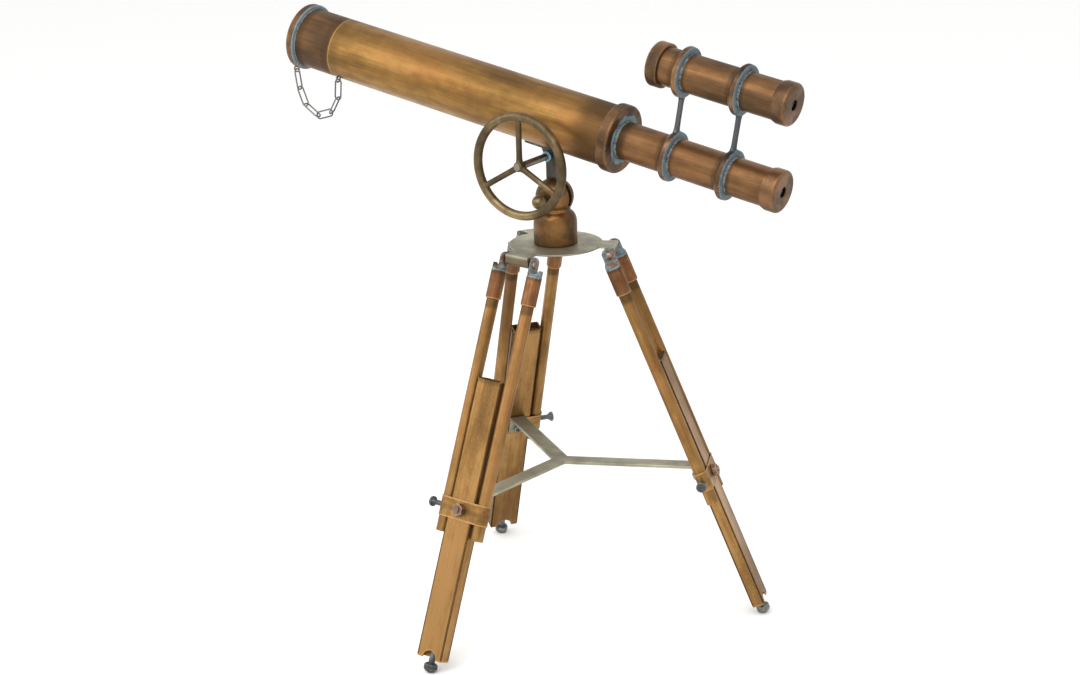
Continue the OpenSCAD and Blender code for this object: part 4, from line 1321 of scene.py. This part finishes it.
class BuildLegs(Builder):
    """Rods, ferrules, lugs and hinge bolts of the three legs."""

    bl_idname = "telescope.legs"
    bl_label = "Legs"

    def execute(self, context):
        bolts = Shape(HEAD)
        for k in LEGS:
            leg = LEG[k]
            frames = bar_frames(f"leg_rods_{k}", leg)
            low, high = span(f"leg_rods_{k}", leg)
            ring_low, ring_high = span(f"leg_ferrules_{k}", leg)
            rods, rings = Shape(leg), Shape(leg)
            for place in frames:
                rods.turn(sleeve(low.x, high.x, 6 * MM, 4.7 * MM, 0.35 * MM), place, sides=72, step=3 * MM)
                rings.turn(sleeve(ring_low.x, ring_high.x, 7.4 * MM, 6 * MM, 0.9 * MM), place, sides=72,
                           step=1.2 * MM)
            rods.finish(f"round_rods_{k}", "rod", "tripod", f"leg_rods_{k}", gain=5)
            rings.finish(f"ferrule_pair_{k}", "ferrule", "tripod", f"leg_ferrules_{k}", gain=5)
            lugs = Shape(leg).cad(f"leg_lugs_{k}").fuse(self.sizes.fine_grain, 4)
            lugs.weather(0.25 * MM, 2 * MM, k)
            lugs.finish(f"lug_pair_{k}", "lug", "tripod", f"leg_lugs_{k}", gain=3.2, sharp=180)
            found = cad_points("hinge_bolts", leg)
            mine = found[(np.abs(found[:, 0]) < 5 * MM) & (np.abs(found[:, 2]) < 5 * MM)]
            end = mine[:, 1].max()
            axis = HEAD.inverted() @ leg @ frame_of((0, 0, 0), (0, 1, 0), (0, 0, 1))
            bolts.turn(self.bolt(end), axis, sides=48, step=0.8 * MM)
        bolts.finish("domed_hinge_bolts", "bolt", "tripod", "hinge_bolts", gain=3)
        return {"FINISHED"}

    def bolt(self, end):
        """A hinge bolt with a domed head at each end."""
        head, radius, shank = end - 2.4 * MM, 3.8 * MM, 2.5 * MM
        right = [(head, shank, 0), (head, radius, 0.3 * MM)] + [
            (head + 2.4 * MM * math.sqrt(max(0, 1 - r * r)), radius * r, 0) for r in (0.9, 0.75, 0.55, 0.35,
                                                                                      0.15)]
        right += [(end, 0, 0)]
        return [(-x, r, e) for x, r, e in reversed(right)] + right


class BuildClamps(Builder):
    """Clamp bands, their nuts and thumb screws."""

    bl_idname = "telescope.clamps"
    bl_label = "Clamps"

    def execute(self, context):
        nuts = Shape(HEAD)
        for k in LEGS:
            low, high = span(f"clamp_band_{k}", LEG[k])
            self.band(k, low, high)
            band = clamp_middle(k)
            found = cad_points("clamp_nuts", band)
            near = found[np.linalg.norm(found[:, :2], axis=1) < 12 * MM]
            tip, face = near[:, 2].max(), high.z
            outward = frame_of((0, 0, 0), (0, 0, 1), (1, 0, 0))
            one = Shape(band)
            hex_nut(one, face, face + 5 * MM, 6.4 * MM)
            one.turn(round_bar(face - 1 * MM, tip, 3 * MM, 0.6 * MM), sides=48, step=0.8 * MM)
            one.turn(sleeve(face + 4.7 * MM, face + 5.25 * MM, 5.3 * MM, 3.4 * MM, 0.2 * MM, 0.1 * MM),
                     sides=64)
            one.mesh.transform(outward.to_4x4())
            held = bpy.data.meshes.new("nut")
            one.mesh.to_mesh(held)
            held.transform(HEAD.inverted() @ band)
            nuts.mesh.from_mesh(held)
            bpy.data.meshes.remove(held)
            self.thumb_screw(k)
        nuts.finish("clamp_hex_nuts", "bolt", "tripod", "clamp_nuts", gain=3)
        return {"FINISHED"}

    def band(self, k, low, high):
        """A strip bent round both rods: an oblong hoop with rounded edges."""
        half, depth = high.y, high.z
        outer = oblong(half - depth, depth, 16)
        inner = oblong(half - depth, depth - 1.15 * MM, 16)
        edge = self.sizes.band_edge
        part = bmesh.new()
        sections = []
        for (oy, oz), (iy, iz) in zip(outer, inner):
            way = Vector((0, oy - iy, oz - iz)).normalized()
            out, into = Vector((0, oy, oz)), Vector((0, iy, iz))
            corner = []
            for x, base, sign, way_x in ((low.x, out, 1, 1), (high.x, out, 1, -1),
                                         (high.x, into, -1, -1), (low.x, into, -1, 1)):
                for j in range(4):
                    a = math.pi / 2 * j / 3
                    if (sign > 0) == (way_x > 0):
                        dx, dr = edge * (1 - math.sin(a)), edge * (1 - math.cos(a))
                    else:
                        dx, dr = edge * (1 - math.cos(a)), edge * (1 - math.sin(a))
                    corner.append(base - way * (sign * dr) + Vector((x + way_x * dx, 0, 0)))
            lengthened = []
            for j, here in enumerate(corner):
                after = corner[(j + 1) % len(corner)]
                cuts = max(1, math.ceil((after - here).length / (2 * MM)))
                lengthened += [here.lerp(after, c / cuts) for c in range(cuts)]
            sections.append(lengthened)
        filled = []
        for i, section in enumerate(sections):
            after = sections[(i + 1) % len(sections)]
            cuts = max(1, math.ceil((after[0] - section[0]).length / (3 * MM)))
            for c in range(cuts):
                filled.append([part.verts.new(p.lerp(q, c / cuts)) for p, q in zip(section, after)])
        for i, ring in enumerate(filled):
            after = filled[(i + 1) % len(filled)]
            for j in range(len(ring)):
                m = (j + 1) % len(ring)
                part.faces.new((ring[j], ring[m], after[m], after[j]))
        shape = Shape(LEG[k]).keep(part)
        shape.finish(f"bent_band_{k}", "band", "tripod", f"clamp_band_{k}", gain=5)

    def thumb_screw(self, k):
        """A turned screw with a flared, flat head."""
        band = clamp_middle(k)
        low, high = span(f"thumb_screw_{k}", band)
        axis = band @ frame_of((0, 0, 0), (0, 1, 0), (0, 0, 1))
        head, radius = low.y, high.z
        Shape(axis).turn([
            (head, 0, 0), (head, radius, 0.8 * MM), (head + 2.6 * MM, radius, 0.5 * MM),
            (head + 2.7 * MM, radius - 0.9 * MM, 0.3 * MM), (head + 5.6 * MM, 2.5 * MM, 1.2 * MM),
            (high.y, 2.5 * MM, 0.4 * MM), (high.y, 0, 0)], sides=64, step=0.9 * MM).finish(
            f"turned_thumb_screw_{k}", "screw", f"thumb_{k}", f"thumb_screw_{k}", gain=4)


class BuildPlanks(Builder):
    """Sliding planks and feet."""

    bl_idname = "telescope.planks"
    bl_label = "Planks and feet"

    def execute(self, context):
        for k in LEGS:
            low, high = span(f"sliding_plank_{k}", LEG[k])
            notch = 8 * MM
            outline = [(low.x, low.y), (high.x, low.y)]
            outline += [(high.x - notch * math.cos(math.radians(a)), notch * math.sin(math.radians(a)))
                        for a in range(-90, 91, 9)]
            outline += [(high.x, high.y), (low.x, high.y)]
            edge = self.sizes.plank_edge
            plank = Shape(LEG[k]).slab(outline, low.z, high.z, edge)
            wall, past = 1.4 * MM, 2 * MM
            stem_top, notch_top = span(f"foot_{k}", LEG[k])[0].x, high.x - notch
            hollow = Shape(LEG[k])
            for start, end in ((low.x - past, stem_top), (notch_top, high.x + past)):
                hollow.slab([(start, low.y + wall), (end, low.y + wall), (end, high.y - wall),
                             (start, high.y - wall)], low.z + wall, high.z - wall, 0.2 * MM)
            plank.cut(hollow, crossing=True)
            plank.finish(
                f"rounded_plank_{k}", "plank", f"leg_{k}", f"sliding_plank_{k}", gain=5)
            low, high = span(f"foot_{k}", LEG[k])
            sole = high.x
            stem, head, ball = 3 * MM, 6.5 * MM, 8 * MM
            middle = sole - ball
            outline = [(low.x, 0, 0), (low.x, stem, 0.3 * MM), (middle - 0.5 * MM, stem, 0.4 * MM),
                       (middle - 1.2 * MM, head * 0.72, 0.5 * MM), (middle + 0.2 * MM, head, 0.6 * MM),
                       (middle + 4.5 * MM, head, 0.5 * MM)]
            outline += [(middle + ball * math.cos(math.radians(a)), ball * math.sin(math.radians(a)), 0)
                        for a in (48, 40, 32, 24, 16, 8)]
            outline += [(sole, 0, 0)]
            Shape(LEG[k]).turn(outline, sides=64, step=0.9 * MM).rest_on_floor().finish(
                f"round_foot_{k}", "screw", f"leg_{k}", f"foot_{k}", gain=4)
        return {"FINISHED"}


class FinishInnerParts(Builder):
    """Gives the CAD nodes that stay their finishes: lenses, rings, bush and the bolt under the plate."""

    bl_idname = "telescope.inner_parts"
    bl_label = "Lenses and inner parts"

    def execute(self, context):
        kept = {
            "glass": ("objective_lens", "eyepiece_lens", "finder_lens", "finder_eye_lens"),
            "hidden": ("lens_ring", "stop_ring", "guide_bush"),
            "screw": ("swivel_bolt", "swivel_washer"),
        }
        for finish, nodes in kept.items():
            for node in nodes:
                thing = frame["nodes"][node]
                for index in range(max(1, len(thing.material_slots))):
                    if not thing.material_slots:
                        thing.data.materials.append(FINISHES[finish]())
                    thing.material_slots[index].material = FINISHES[finish]()
        return {"FINISHED"}


class BuildStage(Builder):
    """Floor, soft lights and camera."""

    bl_idname = "telescope.stage"
    bl_label = "Stage"

    def execute(self, context):
        scene = context.scene
        stage = scene.telescope_stage
        self.camera(scene, stage)
        self.floor(scene, stage)
        middle = (Vector(CAD_BOX[0]) + Vector(CAD_BOX[1])) / 2
        self.light(scene, "key_light", stage.key_power, 1.8, stage.camera_turn, 0.35, 46, 2.2, middle)
        self.light(scene, "side_light", stage.side_power, 1.4, stage.camera_turn, 1.5, 30, 2.0, middle)
        world = bpy.data.worlds.new("room")
        world.use_nodes = True
        world.node_tree.nodes["Background"].inputs["Color"].default_value = (1, 1, 1, 1)
        world.node_tree.nodes["Background"].inputs["Strength"].default_value = stage.room
        scene.world = world
        scene.view_settings.view_transform = "Standard"
        return {"FINISHED"}

    def camera(self, scene, stage):
        turn, fall, roll = stage.camera_turn, stage.camera_fall, stage.camera_roll
        ahead = Vector((-math.sin(turn) * math.cos(fall), math.cos(turn) * math.cos(fall), -math.sin(fall)))
        level = Vector((math.cos(turn), math.sin(turn), 0))
        up = level.cross(ahead)
        right = level * math.cos(roll) + up * math.sin(roll)
        above = up * math.cos(roll) - level * math.sin(roll)
        data = bpy.data.cameras.new("camera")
        data.lens, data.sensor_width, data.clip_end = stage.camera_lens, 36.0, 100.0
        camera = bpy.data.objects.new("camera", data)
        matrix = Matrix((right, above, -ahead)).transposed().to_4x4()
        matrix.translation = Vector(stage.camera_place)
        camera.matrix_world = matrix
        scene.collection.objects.link(camera)
        scene.camera = camera

    def floor(self, scene, stage):
        part = bmesh.new()
        bmesh.ops.create_circle(part, cap_ends=True, segments=96, radius=14)
        mesh = bpy.data.meshes.new("studio_floor")
        part.to_mesh(mesh)
        part.free()
        floor = bpy.data.objects.new("studio_floor", mesh)
        scene.collection.objects.link(floor)
        paint = Paint("floor_paint", Roughness=0.75)
        cloud = paint.noise(0.4, 2, 0.5)
        base = tuple(stage.floor)
        mesh.materials.append(paint.out(
            Base_Color=paint.mix(cloud, base, tuple(c * 0.985 for c in base))))

    def light(self, scene, name, power, size, turn, swing, rise, distance, middle):
        """A square soft light, swung to the left of the camera and raised by degrees."""
        data = bpy.data.lights.new(name, "AREA")
        data.energy, data.size, data.shape = power, size, "SQUARE"
        lift = math.radians(rise)
        way = Vector((math.sin(turn - swing) * math.cos(lift), -math.cos(turn - swing) * math.cos(lift),
                      math.sin(lift)))
        lamp = bpy.data.objects.new(name, data)
        lamp.location = middle + way * distance
        lamp.rotation_euler = way.to_track_quat("Z", "Y").to_euler()
        scene.collection.objects.link(lamp)


class TelescopePanel(bpy.types.Panel):
    """Sizes, colours and the operators, in the sidebar."""

    bl_idname = "VIEW3D_PT_telescope"
    bl_label = "Telescope"
    bl_space_type = "VIEW_3D"
    bl_region_type = "UI"
    bl_category = "Telescope"

    def draw(self, context):
        scene = context.scene
        for group in (scene.telescope_shape, scene.telescope_finish, scene.telescope_stage):
            box = self.layout.box()
            for name in group.__annotations__:
                box.prop(group, name)
        for operator in OPERATORS:
            self.layout.operator(operator.bl_idname)


OPERATORS = (
    BuildStage, BuildMainTube, BuildCap, BuildDrawTube, BuildFinder, BuildHead, BuildSaddle, BuildWheel,
    BuildPlate, BuildSpreader, BuildLegs, BuildClamps, BuildPlanks, FinishInnerParts,
)
GROUPS = {"telescope_shape": TelescopeShape, "telescope_finish": TelescopeFinish,
          "telescope_stage": TelescopeStage}


def register():
    for kind in (*GROUPS.values(), *OPERATORS, TelescopePanel):
        bpy.utils.register_class(kind)
    for name, group in GROUPS.items():
        setattr(bpy.types.Scene, name, bpy.props.PointerProperty(type=group))


def unregister():
    for name in GROUPS:
        delattr(bpy.types.Scene, name)
    for kind in (TelescopePanel, *reversed(OPERATORS), *reversed(list(GROUPS.values()))):
        bpy.utils.unregister_class(kind)


def main():
    register()
    for operator in OPERATORS:
        group, name = operator.bl_idname.split(".")
        getattr(getattr(bpy.ops, group), name)()
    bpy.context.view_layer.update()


if __name__ == "__main__":
    main()
